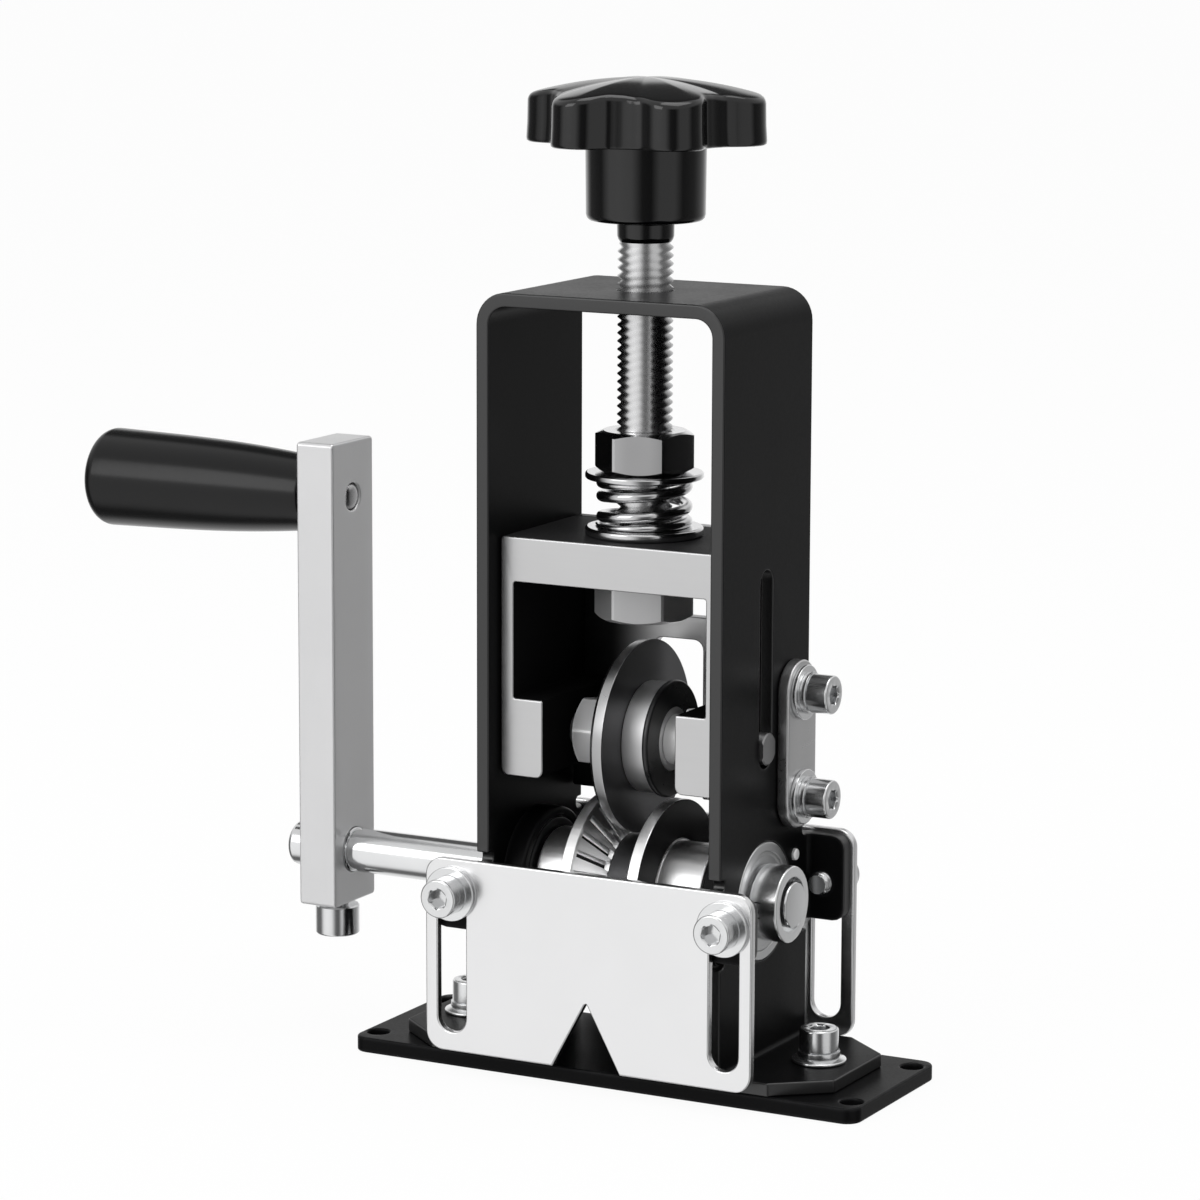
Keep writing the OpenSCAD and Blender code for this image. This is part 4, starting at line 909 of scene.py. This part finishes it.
# Crank arm
# A flat aluminium bar, sawn, deburred and satin finished, bored for the shaft and for the
# grip's spindle. A cap screw from below locks it on the shaft.
# Its edges are painted lighter: partly wear, partly painted highlight.
satin_bar = finish(
    "satin aluminium", (0.68, 0.68, 0.685), 0.65, (0.3, 0.4), 1500, stretch=(1, 1, 0.06), relief=0.0012,
    edge_wear_and_highlight=(0.5, (0.9, 0.9, 0.9), 0.5), cloud=0.05
)
ARM_IN, ARM_OUT = 73.2, 82.6
ARM_LOW, ARM_HIGH, ARM_HALF = 28.3, 133.5, 8.75
GRIP_Z = 120.8
SPINDLE_END, BORE_END = 130.8, 131.8
arm_outline = eased(rectangle(2 * ARM_HALF, ARM_HIGH - ARM_LOW, 0.9, 0, (ARM_LOW + ARM_HIGH) / 2))
arm_holes = [ring_of_points(5.03, 0, SHAFT_Z, 48), ring_of_points(3.1, 0, GRIP_Z, 36)]
arm = cut_sheet(arm_outline, arm_holes, -ARM_OUT, -ARM_IN, 0.55)
upright = Matrix(((0, 0, 1, 0), (1, 0, 0, 0), (0, 1, 0, 0), (0, 0, 0, 1)))
piece("crank_bar", [(arm, [upright])], [satin_bar], "drive", ["crank_arm"])
clamp_x = -(ARM_IN + ARM_OUT) / 2
clamp_seat = ARM_LOW - 1.1
cap_screws(
    "clamp_cap_screw", M6, -8.0, lambda spin: [seat(clamp_x, 0, clamp_seat, "-z", spin)], "clamp_screw",
    "drive"
)

# Grip
# A turned steel spindle is riveted into the arm, and a moulded black plastic grip turns on
# it. The grip swells towards its round free end and shines like other moulded knobs.
turned_steel = finish("turned steel", (0.5, 0.5, 0.505), 1.0, (0.24, 0.34), 1600, relief=0.0006)
spindle_profile = [
    (1.4, ARM_IN - 0.15), (2.3, ARM_IN + 0.1), (2.8, ARM_IN + 0.5), (2.98, ARM_IN + 1.0), (3.0, ARM_OUT),
    (4.0, ARM_OUT + 0.02), (4.0, SPINDLE_END), (3.7, SPINDLE_END + 0.3)
]
piece(
    "grip_rivet", [(solid_turned(spindle_profile, 56), [seat(0, 0, GRIP_Z, "-x")])], [turned_steel],
    "drive", ["grip_spindle"]
)
moulded = finish(
    "gloss black plastic", (0.0016, 0.0016, 0.0018), 0.0, (0.2, 0.24), 900, relief=0.0004, sheen=0.32
)
GRIP_START, GRIP_L = 83.1, 56.0
NECK_R, END_R, EDGE = 8.4, 11.15, 3.2
straight = GRIP_L - EDGE
grip_profile = [(NECK_R - 0.6, GRIP_START), (NECK_R - 0.15, GRIP_START + 0.15), (NECK_R, GRIP_START + 0.6)]
for k in range(1, 25):
    t = k / 24
    r = NECK_R + (END_R - NECK_R) * t + 0.9 * math.sin(math.pi * t) * (1 - t / 2)
    grip_profile.append((r, GRIP_START + 0.6 + (straight - 0.6) * t))
for k in range(1, 9):
    a = math.pi / 2 * k / 8
    grip_profile.append((END_R - EDGE + EDGE * math.cos(a), GRIP_START + straight + EDGE * math.sin(a)))
grip_profile.append((3.0, GRIP_START + GRIP_L - 0.02))
bore = [(4.05, BORE_END), (4.05, GRIP_START + 0.3), (4.4, GRIP_START)]
grip_rows = [(2.0, BORE_END)] + bore + grip_profile + [(1.0, GRIP_START + GRIP_L - 0.05)]
piece(
    "grip_moulding", [(solid_turned(grip_rows, 96), [seat(0, 0, GRIP_Z, "-x")])], [moulded], "grip",
    ["grip"]
)


# Guard plates
# The front plate and the taller back plate are cut from 2 mm sheet and nickel plated to a
# satin shine. Slots let them slide up and down, and a V notch holds a thin wire.
def guard_outline(top):
    """The outline of a plate with its V notch, its foot at 5 mm over the bench."""
    low, half = 5.0, 39.5
    return eased(
        [
            (-half, low, 4), (-8.2, low, 0.35), (0, low + 15, 0.35), (8.2, low, 0.35), (half, low, 4),
            (half, top, 4), (-half, top, 4)
        ],
        8
    )


# Its edges are painted lighter: partly wear, partly painted highlight.
nickel_sheet = finish(
    "satin nickel sheet", (0.8, 0.8, 0.805), 1.0, (0.22, 0.27), 1300, stretch=(0.3, 1, 1), relief=0.0001,
    edge_wear_and_highlight=(0.4, (0.95, 0.95, 0.95), 0.5), cloud=0.03
)
PLATE_IN, PLATE_OUT = 24.35, 26.35
SLOT_WIDE, SLOT_HIGH, SLOT_Z = 7, 34.6, 26.5
standing = Matrix(((1, 0, 0, 0), (0, 0, 1, 0), (0, 1, 0, 0), (0, 0, 0, 1)))
for word, low, high, top in (("front", -PLATE_OUT, -PLATE_IN, 48), ("back", PLATE_IN, PLATE_OUT, 52)):
    slots = [eased(rectangle(SLOT_WIDE, SLOT_HIGH, 3.49, s * PLATE_SCREW_X, SLOT_Z), 10) for s in (-1, 1)]
    plate = cut_sheet(guard_outline(top), slots, low, high, 0.4)
    piece(
        f"{word}_guard", [(plate, [standing])], [nickel_sheet], f"{word}_plate",
        [f"{word}_plate"]
    )
ear_places = [(s * PLATE_SCREW_X, t) for s in (-1, 1) for t in (-1, 1)]


def at_ears(y, spin=0.0):
    return [seat(x, t * y, SHAFT_Z, "y" if t > 0 else "-y", spin) for x, t in ear_places]


washer_seat = PLATE_OUT + 0.05
fasteners("guard_washers", washer(M5_WASHER_R, CLEAR, WASHER_T), at_ears(washer_seat), "plate_washers")
screw_y = washer_seat + WASHER_T
cap_screws("guard_cap_screws", M5, 19 - screw_y, lambda spin: at_ears(screw_y, spin), "plate_screws")

# Guide plate
# A bar with round ends, satin ground, sits outside the right wall beside the axle's slot.
# Two cap screws with flat and split washers hold it. A small pin sits above the bearing.
# Its edges are painted lighter: partly wear, partly painted highlight.
ground_steel = finish(
    "satin ground steel", (0.58, 0.58, 0.583), 1.0, (0.26, 0.38), 1600, stretch=(1, 0.06, 1), relief=0.0008,
    edge_wear_and_highlight=(0.4, (0.85, 0.85, 0.85), 0.7), cloud=0.05
)
GUIDE_T = 2.8
guide_outline = eased(rectangle(14, 37, 6.99, GUIDE_Y, GUIDE_Z), 14)
guide_holes = [ring_of_points(CLEAR, GUIDE_Y, z) for z in GUIDE_SCREWS]
guide = cut_sheet(guide_outline, guide_holes, WALL, WALL + GUIDE_T, 0.5)
piece("guide_bar", [(guide, [upright])], [ground_steel], "frame", ["guide_plate"])


def at_guide(x, spin=0.0):
    return [seat(x, GUIDE_Y, z, "x", spin) for z in GUIDE_SCREWS]


washer_x = WALL + GUIDE_T
fasteners("guide_flat_washers", washer(M5_WASHER_R, CLEAR, WASHER_T), at_guide(washer_x), "guide_washers")
fasteners(
    "guide_split_washers", split_washer(4.6, CLEAR, SPLIT_T), at_guide(washer_x + WASHER_T),
    "guide_lock_washers"
)
screw_x = washer_x + WASHER_T + SPLIT_T
cap_screws("guide_cap_screws", M5, 26.8 - screw_x, lambda spin: at_guide(screw_x, spin), "guide_screws")
# A near-white metal, lighter than the left nut's plating, as painted highlight on the wall pin, the right
# axle nut and the axle spacers.
highlight_lightened_metal = finish("metal lightened as painted highlight", (0.92, 0.92, 0.92), 0.35, (0.3, 0.4), 1200, cloud=0.03)
pin_profile = [(1.1, WALL - SHEET), (1.3, WALL - SHEET + 0.2), (1.3, WALL + 0.2)]
pin_profile += [(1.25, WALL + 0.4), (1.1, WALL + 0.55), (0.8, WALL + 0.66), (0.4, WALL + 0.7)]
piece(
    "wall_rivet", [(solid_turned(pin_profile, 32), [seat(0, PIN_Y, PIN_Z, "x")])], [highlight_lightened_metal], "frame",
    ["wall_pin"]
)

# Blade holder
# A block of steel milled to a bridge on two legs, with a foot block inside each leg that
# carries the axle. It is ground satin. The guard behind it has a window and a blade slot.
HOLDER_HALF, HOLDER_Y = 26.3, 16.5
BLOCK_X, LEG_IN = 16.0, 23.2
BLOCK_LOW, BLOCK_TOP, BRIDGE, HOLDER_TOP = 65.5, 82.7, 108.2, 118.0
AXLE_Z, AXLE_BORE = 73.8, 4.02
half_outline = [(BLOCK_X, BLOCK_LOW, 1.7), (HOLDER_HALF, BLOCK_LOW, 1.7), (HOLDER_HALF, HOLDER_TOP, 0.8)]
inner_outline = [(LEG_IN, BRIDGE, 0.5), (LEG_IN, BLOCK_TOP, 0.4), (BLOCK_X, BLOCK_TOP, 0.5)]
holder_outline = half_outline + mirrored(half_outline) + mirrored(inner_outline) + inner_outline
holder = cut_sheet(eased(holder_outline, 4), [], -HOLDER_Y, HOLDER_Y, 0.4)


def drilled(shape, cutters):
    """The shape with holes bored by the cutters, each a shape and its seat."""
    host = bpy.data.meshes.new("host")
    bmesh.ops.recalc_face_normals(shape, faces=shape.faces)
    shape.to_mesh(host)
    body = bpy.data.objects.new("host", host)
    bpy.context.scene.collection.objects.link(body)
    drills = []
    for cutter, place in cutters:
        mesh = bpy.data.meshes.new("drill")
        bmesh.ops.recalc_face_normals(cutter, faces=cutter.faces)
        cutter.to_mesh(mesh)
        mesh.transform(place)
        drill = bpy.data.objects.new("drill", mesh)
        bpy.context.scene.collection.objects.link(drill)
        bore = body.modifiers.new("bore", "BOOLEAN")
        bore.operation, bore.solver, bore.object = "DIFFERENCE", "EXACT", drill
        drills.append(drill)
    bpy.context.view_layer.update()
    result = bmesh.new()
    result.from_object(body, bpy.context.evaluated_depsgraph_get())
    for thing in drills + [body]:
        bpy.data.objects.remove(thing)
    return result


holder = drilled(
    holder,
    [
        (solid_turned([(6.05, -1), (6.05, 12)], 56), standing.inverted() @ seat(0, 0, BRIDGE)),
        (
            solid_turned([(AXLE_BORE, -30), (AXLE_BORE, 30)], 48),
            standing.inverted() @ seat(0, 0, AXLE_Z, "x")
        )
    ]
)
# Its edges are painted lighter: partly wear, partly painted highlight.
holder_steel = finish(
    "milled holder steel", (0.56, 0.56, 0.563), 1.0, (0.3, 0.42), 1400, stretch=(0.06, 1, 1), relief=0.0008,
    edge_wear_and_highlight=(0.5, (0.85, 0.85, 0.85), 0.8), cloud=0.04
)
# The holder's top face is coloured dark steel with almost no shine. Its inner faces are coloured near black
# as painted shade.
dark_top_steel = finish(
    "dark holder top steel", (0.03, 0.03, 0.031), 0.0, (0.45, 0.55), 1400, relief=0.001, sheen=0.03
)
painted_shade_recess = finish(
    "milled recess with painted shade", (0.006, 0.006, 0.0062), 0.0, (0.5, 0.6), 1400, relief=0.001, sheen=0.0
)


def top_or_inner_face(face, middle):
    """Whether a face of the holder is neither its front, back, outer sides nor its foot."""
    return abs(face.normal.z) < 0.6 and abs(middle.x) < HOLDER_HALF - 0.3 and middle.y > BLOCK_LOW + 0.3


# Top face dark; inner faces, index 2, near black as painted shade.
marked(holder, top_or_inner_face)
marked(holder, lambda face, middle: top_or_inner_face(face, middle) and middle.y < HOLDER_TOP - 0.5, 2)
piece(
    "holder_block", [(holder, [standing])], [holder_steel, dark_top_steel, painted_shade_recess], "blade_holder",
    ["blade_holder"]
)
GUARD_T, GUARD_LOW, GUARD_SLOT_TOP, WINDOW_LOW = 3.0, 57, 92.5, 97.7
window = eased(rectangle(38, BRIDGE - WINDOW_LOW, 0.8, 0, (BRIDGE + WINDOW_LOW) / 2), 4)
guard_outline_points = eased(
    [
        (-HOLDER_HALF, GUARD_LOW, 0.6), (-6, GUARD_LOW, 0.6), (-6, GUARD_SLOT_TOP, 2.2),
        (6, GUARD_SLOT_TOP, 2.2), (6, GUARD_LOW, 0.6), (HOLDER_HALF, GUARD_LOW, 0.6),
        (HOLDER_HALF, HOLDER_TOP, 0.6), (-HOLDER_HALF, HOLDER_TOP, 0.6)
    ],
    5
)
guard_screw_places = [(s * 21, z) for s in (-1, 1) for z in (74, 113)]
guard_holes = [window] + [ring_of_points(1.7, x, z, 24) for x, z in guard_screw_places]
guard = cut_sheet(guard_outline_points, guard_holes, HOLDER_Y, HOLDER_Y + GUARD_T, 0.3)
# Painted shade: the guard's colour fades to near black towards its left side, where shade falls inside the
# holder.
guard_steel = finish(
    "guard steel with painted shade", (0.64, 0.64, 0.643), 1.0, (0.36, 0.46), 1400, stretch=(0.06, 1, 1), relief=0.0008
)
tree = guard_steel.node_tree
along = wired(
    tree, "ShaderNodeSeparateXYZ", {0: wired(tree, "ShaderNodeTexCoord").outputs["Object"]}
).outputs["X"]
# The share of painted shade, full at the left and none from the middle rightwards.
painted_shade_share = smooth_rise(tree, along, -17 * MM, 0.0, 0.03)
base = tree.nodes["Principled BSDF"].inputs["Base Color"]
tree.links.new(blend(tree, painted_shade_share, (0.006, 0.006, 0.0062, 1), base.links[0].from_socket), base)
piece("rear_guard", [(guard, [standing])], [guard_steel], "blade_holder", ["blade_guard"])
at_guard = [seat(x, HOLDER_Y + GUARD_T, z, "y") for x, z in guard_screw_places]
piece(
    "rear_guard_screws",
    [(socket_head(5.6, 1.6, 2, 1), at_guard), (thread(3.0, 0.5, -9, 0.02, count=28), at_guard)], [bright],
    "blade_holder", ["guard_screws"]
)

# Blade axle
# A turned bar across the holder. Its tips are milled flat on two sides and run in the wall
# slots. A nut on the left and a thinner one on the right keep the hub in place.
tip = drilled(
    solid_turned([(3.2, -30.4), (3.5, -30.1), (3.5, 30.1), (3.2, 30.4)], 56),
    [(cut_sheet(eased(rectangle(2.4, 70, 0, s * 4.1, 0)), [], -10, 10, 0.1), upright) for s in (-1, 1)]
)
axle_bar = solid_turned([(3.8, -26.2), (4.0, -26.0), (4.0, 26.0), (3.8, 26.2)], 56)
axle_seat = seat(0, 0, AXLE_Z, "x")
tip_steel = finish("milled axle steel", (0.3, 0.3, 0.303), 1.0, (0.36, 0.44), 1200, cloud=0.05)
piece(
    "axle_bar", [(tip, [axle_seat]), (axle_bar, [axle_seat])], [tip_steel], "blade_holder",
    ["blade_axle"]
)


# The corners of nuts and heads are turned off 28 degrees from a flat's middle, and their
# crowns fall at 28 degrees from an end face of 0.94 of the width.
CORNER_AT, CROWN_LEAN, CROWN = math.radians(28), math.radians(28), 0.94


def six_sided(across, height, bore=None):
    """A nut, or a bolt's head where there is no bore, with its corners turned off."""
    steps = (0, 1.7, 8, 16, 24, 30, 36, 44, 52, 58.3)
    turns = [math.radians(60 * side + step) for side in range(6) for step in steps]
    flats = [min(across / 2 / math.cos(CORNER_AT), flat) for flat in six_flats(across, turns)]
    face = across / 2 * CROWN
    drop = [max(0.0, (flat - face) * math.tan(CROWN_LEAN)) for flat in flats]

    def sides(h, way_up):
        return [(f * math.cos(a), f * math.sin(a), h + way_up * d) for f, a, d in zip(flats, turns, drop)]

    rows = [level_row(turns, face, 0), sides(0, 1), sides(height, -1), level_row(turns, face, height)]
    if bore is None:
        return loft(rows)
    chamfer = 0.5
    bored = ((bore + chamfer, height), (bore, height - chamfer), (bore, chamfer), (bore + chamfer, 0))
    return loft(rows + [level_row(turns, r, h) for r, h in bored], join=True)


HUB_X0, HUB_X1 = -3.9, 7.5
GAP = 0.05
NUT_T, JAM_T, LEFT_SPACER, RIGHT_SPACER = 7.0, 4.5, 3.1, 3.85
NUT_TURN = 30 - 8.8
# The nut's edges are painted near white: a painted highlight, with some wear.
nut_steel = finish(
    "dull plated nut", (0.62, 0.62, 0.625), 0.6, (0.32, 0.4), 1200, edge_wear_and_highlight=(1.2, (1.0, 1.0, 1.0), 1.0),
    cloud=0.05
)
nut_x = HUB_X0 - GAP - LEFT_SPACER - NUT_T
jam_x = HUB_X1 + GAP + RIGHT_SPACER
for name, x, long, node, plating in (
    ("left_axle_nut", nut_x, NUT_T, "axle_nut", nut_steel),
    ("right_axle_nut", jam_x, JAM_T, "axle_jam_nut", highlight_lightened_metal)
):
    piece(
        name, [(six_sided(14, long, AXLE_BORE), [seat(x, 0, AXLE_Z, "x", NUT_TURN)])], [plating],
        "blade_holder", [node], sharp=24
    )
piece(
    "axle_thin_spacers",
    [
        (washer(5.5, AXLE_BORE, LEFT_SPACER, 0.2), [seat(HUB_X0 - GAP - LEFT_SPACER, 0, AXLE_Z, "x")]),
        (washer(5.5, AXLE_BORE, RIGHT_SPACER, 0.2), [seat(HUB_X1 + GAP, 0, AXLE_Z, "x")])
    ],
    [highlight_lightened_metal], "blade_holder", ["axle_spacers"]
)

# Blade and hub
# A hardened steel ring with a bright ground rim. It sits on a turned hub whose middle ring
# stays bright, between two black flange discs, and all four turn as one.
blade_steel = finish("dark tool steel", (0.09, 0.09, 0.093), 0.9, (0.28, 0.38), 1300, relief=0.0008)
ground_edge = finish("freshly ground edge", (0.82, 0.82, 0.825), 1.0, (0.16, 0.26), 2000, relief=0.0005)
ground_land = finish("ground land", (0.45, 0.45, 0.453), 1.0, (0.26, 0.34), 1500, relief=0.0005)
BLADE_X0, BLADE_X1 = -2.5, 0.9
blade_rows = [
    (11.02, 0.1), (11.12, 0.0), (19.9, 0.0), (20.05, 0.06), (20.85, 0.94), (20.92, 1.1), (21.17, 3.15),
    (21.14, 3.32), (20.95, 3.4), (11.12, 3.4), (11.02, 3.3)
]
blade = marked(turned(blade_rows, 144), lambda face, middle: middle.xy.length > 20.3 and middle.z < 3.35)
marked(blade, lambda face, middle: middle.xy.length > 20.9 and middle.z < 3.35, 2)
piece(
    "round_blade", [(blade, [seat(BLADE_X0, 0, AXLE_Z, "x")])], [blade_steel, ground_edge, ground_land],
    "blade", ["blade"], sharp=20
)
FLANGE_T, FLANGE_R, CORE_R = 1.4, 12.8, 7.0
RING_END = HUB_X1 - FLANGE_T
hub_profile = [
    (4.05, HUB_X0, 0.2), (CORE_R, HUB_X0, 0.3), (CORE_R, BLADE_X0 + 0.02, 0), (10.98, BLADE_X0 + 0.02, 0),
    (10.98, BLADE_X1, 0), (12.2, BLADE_X1, 0.25), (12.2, RING_END, 0.25), (CORE_R, RING_END, 0),
    (CORE_R, HUB_X1, 0.3), (4.05, HUB_X1, 0.2)
]
hub_steel = finish(
    "turned hub ring", (0.8, 0.8, 0.805), 1.0, (0.42, 0.5), 1600, stretch=(1, 0.2, 0.2), relief=0.0004
)
piece(
    "turned_hub", [(turned(eased(hub_profile, 3), 96), [axle_seat])], [hub_steel], "blade",
    ["blade_hub"]
)
black_disc = finish("black flange", (0.01, 0.0102, 0.011), 0.0, (0.26, 0.34), 1200, relief=0.002)
for word, x in (("left", HUB_X0), ("right", RING_END)):
    disc = [
        (CORE_R + 0.02, 0, 0.1), (CORE_R + 1.6, 0, 0.3), (FLANGE_R, 0, 0.5), (FLANGE_R, FLANGE_T, 0.5),
        (CORE_R + 0.02, FLANGE_T, 0.1)
    ]
    piece(
        f"{word}_flange_disc", [(turned(eased(disc, 5), 96), [seat(x, 0, AXLE_Z, "x")])], [black_disc],
        "blade", [f"{word}_flange"]
    )

# Adjusting bolt and its nut
# An M12 bolt runs from its head under the bridge up through the frame's top into the knob.
# A nut over the spring is locked on it. Bolt and nut are zinc plated steel.
bolt_steel = finish("zinc plated bolt", (0.6, 0.6, 0.605), 0.75, (0.3, 0.38), 1400, relief=0.0006)
soft_thread, given, made = effect("soft thread", [("Softness", "Float", 0.7)], [("Normal", "Vector")])
from_axis = wired(
    soft_thread, "ShaderNodeVectorMath",
    {0: wired(soft_thread, "ShaderNodeTexCoord").outputs["Object"], 1: (1, 1, 0)}, operation="MULTIPLY"
)
outward = wired(
    soft_thread, "ShaderNodeVectorTransform", {0: from_axis.outputs[0]}, vector_type="NORMAL",
    convert_from="OBJECT", convert_to="WORLD"
)
plain = wired(soft_thread, "ShaderNodeVectorMath", {0: outward.outputs[0]}, operation="NORMALIZE")
soft = wired(
    soft_thread, "ShaderNodeMix",
    {
        0: given.outputs[0], 4: wired(soft_thread, "ShaderNodeNewGeometry").outputs["Normal"],
        5: plain.outputs[0]
    },
    data_type="VECTOR"
)
level = wired(soft_thread, "ShaderNodeVectorMath", {0: soft.outputs[1]}, operation="NORMALIZE")
soft_thread.links.new(level.outputs[0], made.inputs[0])
thread_steel = finish("rolled thread", (0.66, 0.66, 0.665), 1.0, (0.24, 0.3), 1400, cloud=0.05)
tree = thread_steel.node_tree
softening = wired(tree, "ShaderNodeGroup", {"Softness": 0.96}, node_tree=soft_thread)
tree.links.new(softening.outputs[0], tree.nodes["Principled BSDF"].inputs["Normal"])
HEX, HEX_TURN = 19.0, 19
HEAD_H, NUT_H = 8.4, 9.0
KNOB_LOW, LOBE_LOW = 181.3, 202.3
bolt_thread = marked(
    thread(12.0, 1.75, BRIDGE - 0.1, KNOB_LOW + 0.6, depth=0.8, count=64), lambda face, middle: True
)
bolt_head = six_sided(HEX, HEAD_H)
head_seat = seat(0, 0, BRIDGE - GAP - HEAD_H, spin=HEX_TURN)
bolt_end = solid_turned([(5.0, KNOB_LOW), (5.0, LOBE_LOW)], 48)
piece(
    "adjusting_screw_bolt", [(bolt_thread, [seat()]), (bolt_head, [head_seat]), (bolt_end, [seat()])],
    [bolt_steel, thread_steel], "adjusting_screw", ["adjusting_bolt"], sharp=24
)
SPRING_LOW = HOLDER_TOP + 2.0
SPRING_H = 10.4
WASHER_R = 12.8
WASHER_LOW = SPRING_LOW + SPRING_H
NUT_LOW = WASHER_LOW + 1.4 + GAP
spring_plate = finish("bright spring plating", (0.62, 0.62, 0.625), 1.0, (0.12, 0.2), 1800, relief=0.0005)
piece(
    "spring_nut", [(six_sided(HEX, NUT_H, 6.02), [seat(0, 0, NUT_LOW, spin=HEX_TURN)])], [spring_plate],
    "adjusting_screw", ["upper_nut"], sharp=24
)
piece(
    "washer_over_spring", [(washer(WASHER_R, 6.06, 1.4, 0.45), [seat(0, 0, WASHER_LOW)])], [spring_plate],
    "spring_seat", ["upper_washer"]
)
piece(
    "washer_under_spring", [(washer(WASHER_R, 6.06, 2.0, 0.6), [seat(0, 0, HOLDER_TOP)])], [spring_plate],
    "blade_holder", ["lower_washer"]
)

# Spring
# A short coil of 2.4 mm spring wire, plated. Its end turns are closed, and ground thin
# where they meet the washers.
WIRE_R, COIL_R, COIL_PITCH, COIL_START = 1.2, 9.2, 4.4, math.radians(215)
CLOSED_TURNS, GROUND_TURNS, GROUND_SHARE = 0.742, 0.4, 0.3
drop = WIRE_R * math.sin(math.pi / 3)
rise = SPRING_H - 2 * drop
coil_turns = rise / COIL_PITCH + 2 * CLOSED_TURNS
wire_rows = []
steps = 150
for k in range(-2, steps + 3):
    turns_done = min(coil_turns, max(0, coil_turns * k / steps))
    a = COIL_START + 2 * math.pi * turns_done
    from_tip = min(turns_done, coil_turns - turns_done)
    share = min(1, GROUND_SHARE + (1 - GROUND_SHARE) * from_tip / GROUND_TURNS)
    lean = -1 if turns_done < coil_turns / 2 else 1
    run_on = (min(0, k) + max(0, k - steps)) * WIRE_R
    outward = Vector((math.cos(a), math.sin(a), 0))
    onward = Vector((-math.sin(a), math.cos(a), 0))
    climbed = min(rise, max(0, (turns_done - CLOSED_TURNS) * COIL_PITCH))
    height = SPRING_LOW + drop + climbed + lean * (1 - share) * drop
    centre = outward * COIL_R + onward * run_on + Vector((0, 0, height))
    row = []
    for j in range(20):
        b = 2 * math.pi * j / 20
        point = centre + (outward * math.cos(b) + Vector((0, 0, share)) * math.sin(b)) * WIRE_R
        point.z = min(max(point.z, SPRING_LOW), WASHER_LOW)
        row.append(point)
    wire_rows.append(row)
coil = piece(
    "spring_coil", [(loft(wire_rows), [seat()])], [spring_plate], "spring_seat", ["spring"]
)
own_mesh(coil)

# Star knob
# Moulded black plastic: six lobes with a little draft, a star on the domed top whose
# ridges run out to the lobes, a round hub, and a short neck that takes the bolt's end.
knob_plastic = finish(
    "polished black plastic", (0.0016, 0.0016, 0.0018), 0.0, (0.1, 0.14), 900, relief=0.0002, sheen=0.55
)
KNOB_R, LOBE_R, VALLEY_R, VALLEY_AT, CORE = 25.9, 6.7, 5.6, 25.6, 20.5
KNOB_TURN = 14
RIM_TOP, KNOB_TOP = 212.5, 216.3
RIDGE_LEAN, VALLEY_DIP = math.radians(7), 1.0
HUB_LOW, HUB_WIDE = 185.8, 12.8
dome_r = (KNOB_R**2 + (KNOB_TOP - RIM_TOP) ** 2) / (2 * (KNOB_TOP - RIM_TOP))
COUNT = 192


def knob_reach(a):
    """How far the knob's edge is from its middle at an angle."""
    lobe = (a + math.pi / 6) % (math.pi / 3) - math.pi / 6
    valley = a % (math.pi / 3) - math.pi / 6
    away = KNOB_R - LOBE_R
    reach = CORE
    if abs(away * math.sin(lobe)) < LOBE_R:
        reach = max(reach, away * math.cos(lobe) + math.sqrt(LOBE_R**2 - (away * math.sin(lobe)) ** 2))
    if abs(VALLEY_AT * math.sin(valley)) < VALLEY_R:
        reach = min(
            reach,
            VALLEY_AT * math.cos(valley) - math.sqrt(VALLEY_R**2 - (VALLEY_AT * math.sin(valley)) ** 2)
        )
    return reach


knob_turns = full_turn(COUNT)
raw = [knob_reach(a) for a in knob_turns]
knob_edge = [
    sum(raw[(k + j) % COUNT] * w for j, w in ((-2, 1), (-1, 2), (0, 3), (1, 2), (2, 1))) / 9
    for k in range(COUNT)
]


def hollow(a, part):
    """How far the top falls from a ridge of the star to the valley beside it."""
    from_ridge = (a - RIDGE_LEAN + math.pi / 6) % (math.pi / 3) - math.pi / 6
    return VALLEY_DIP * abs(from_ridge) / (math.pi / 6) * part**1.2


def knob_row(part, lift=0.0, z=None, draft=0.0):
    row = []
    for a, edge in zip(knob_turns, knob_edge):
        r = edge * part + draft
        if z is None:
            height = KNOB_TOP - dome_r + math.sqrt(dome_r**2 - min(r, KNOB_R) ** 2) - hollow(a, part) - lift
        else:
            height = z
        row.append((r * math.cos(a), r * math.sin(a), height))
    return row


knob_rows = [knob_row(k / 20) for k in range(1, 19)]
knob_rows += [
    knob_row(part, lift)
    for part, lift in ((0.935, 0.03), (0.96, 0.12), (0.98, 0.35), (0.992, 0.7), (1.0, 1.3))
]
knob_rows += [knob_row(1.0, z=z, draft=0.35 * (208 - z) / 6) for z in (206.5, 205, 203.2)]
knob_rows += [knob_row(1.0, z=202.6, draft=0.2), knob_row(1.0, z=LOBE_LOW, draft=-0.25)]
knob_rows += [
    level_row(knob_turns, r, z)
    for r, z in (
        (14.2, LOBE_LOW), (13.2, LOBE_LOW - 0.2), (12.95, LOBE_LOW - 1), (HUB_WIDE, 187.3), (12.6, 186.5),
        (12.1, 186.0), (11.3, HUB_LOW), (6.7, HUB_LOW), (6.3, 185.5), (6.15, 185.0), (6.1, 182.6),
        (5.9, 181.9), (5.5, KNOB_LOW), (5.05, KNOB_LOW), (5.03, KNOB_LOW + 0.5)
    )
]
piece(
    "star_knob", [(loft(knob_rows), [seat(spin=KNOB_TURN)])], [knob_plastic], "adjusting_screw",
    ["knob"], sharp=55
)
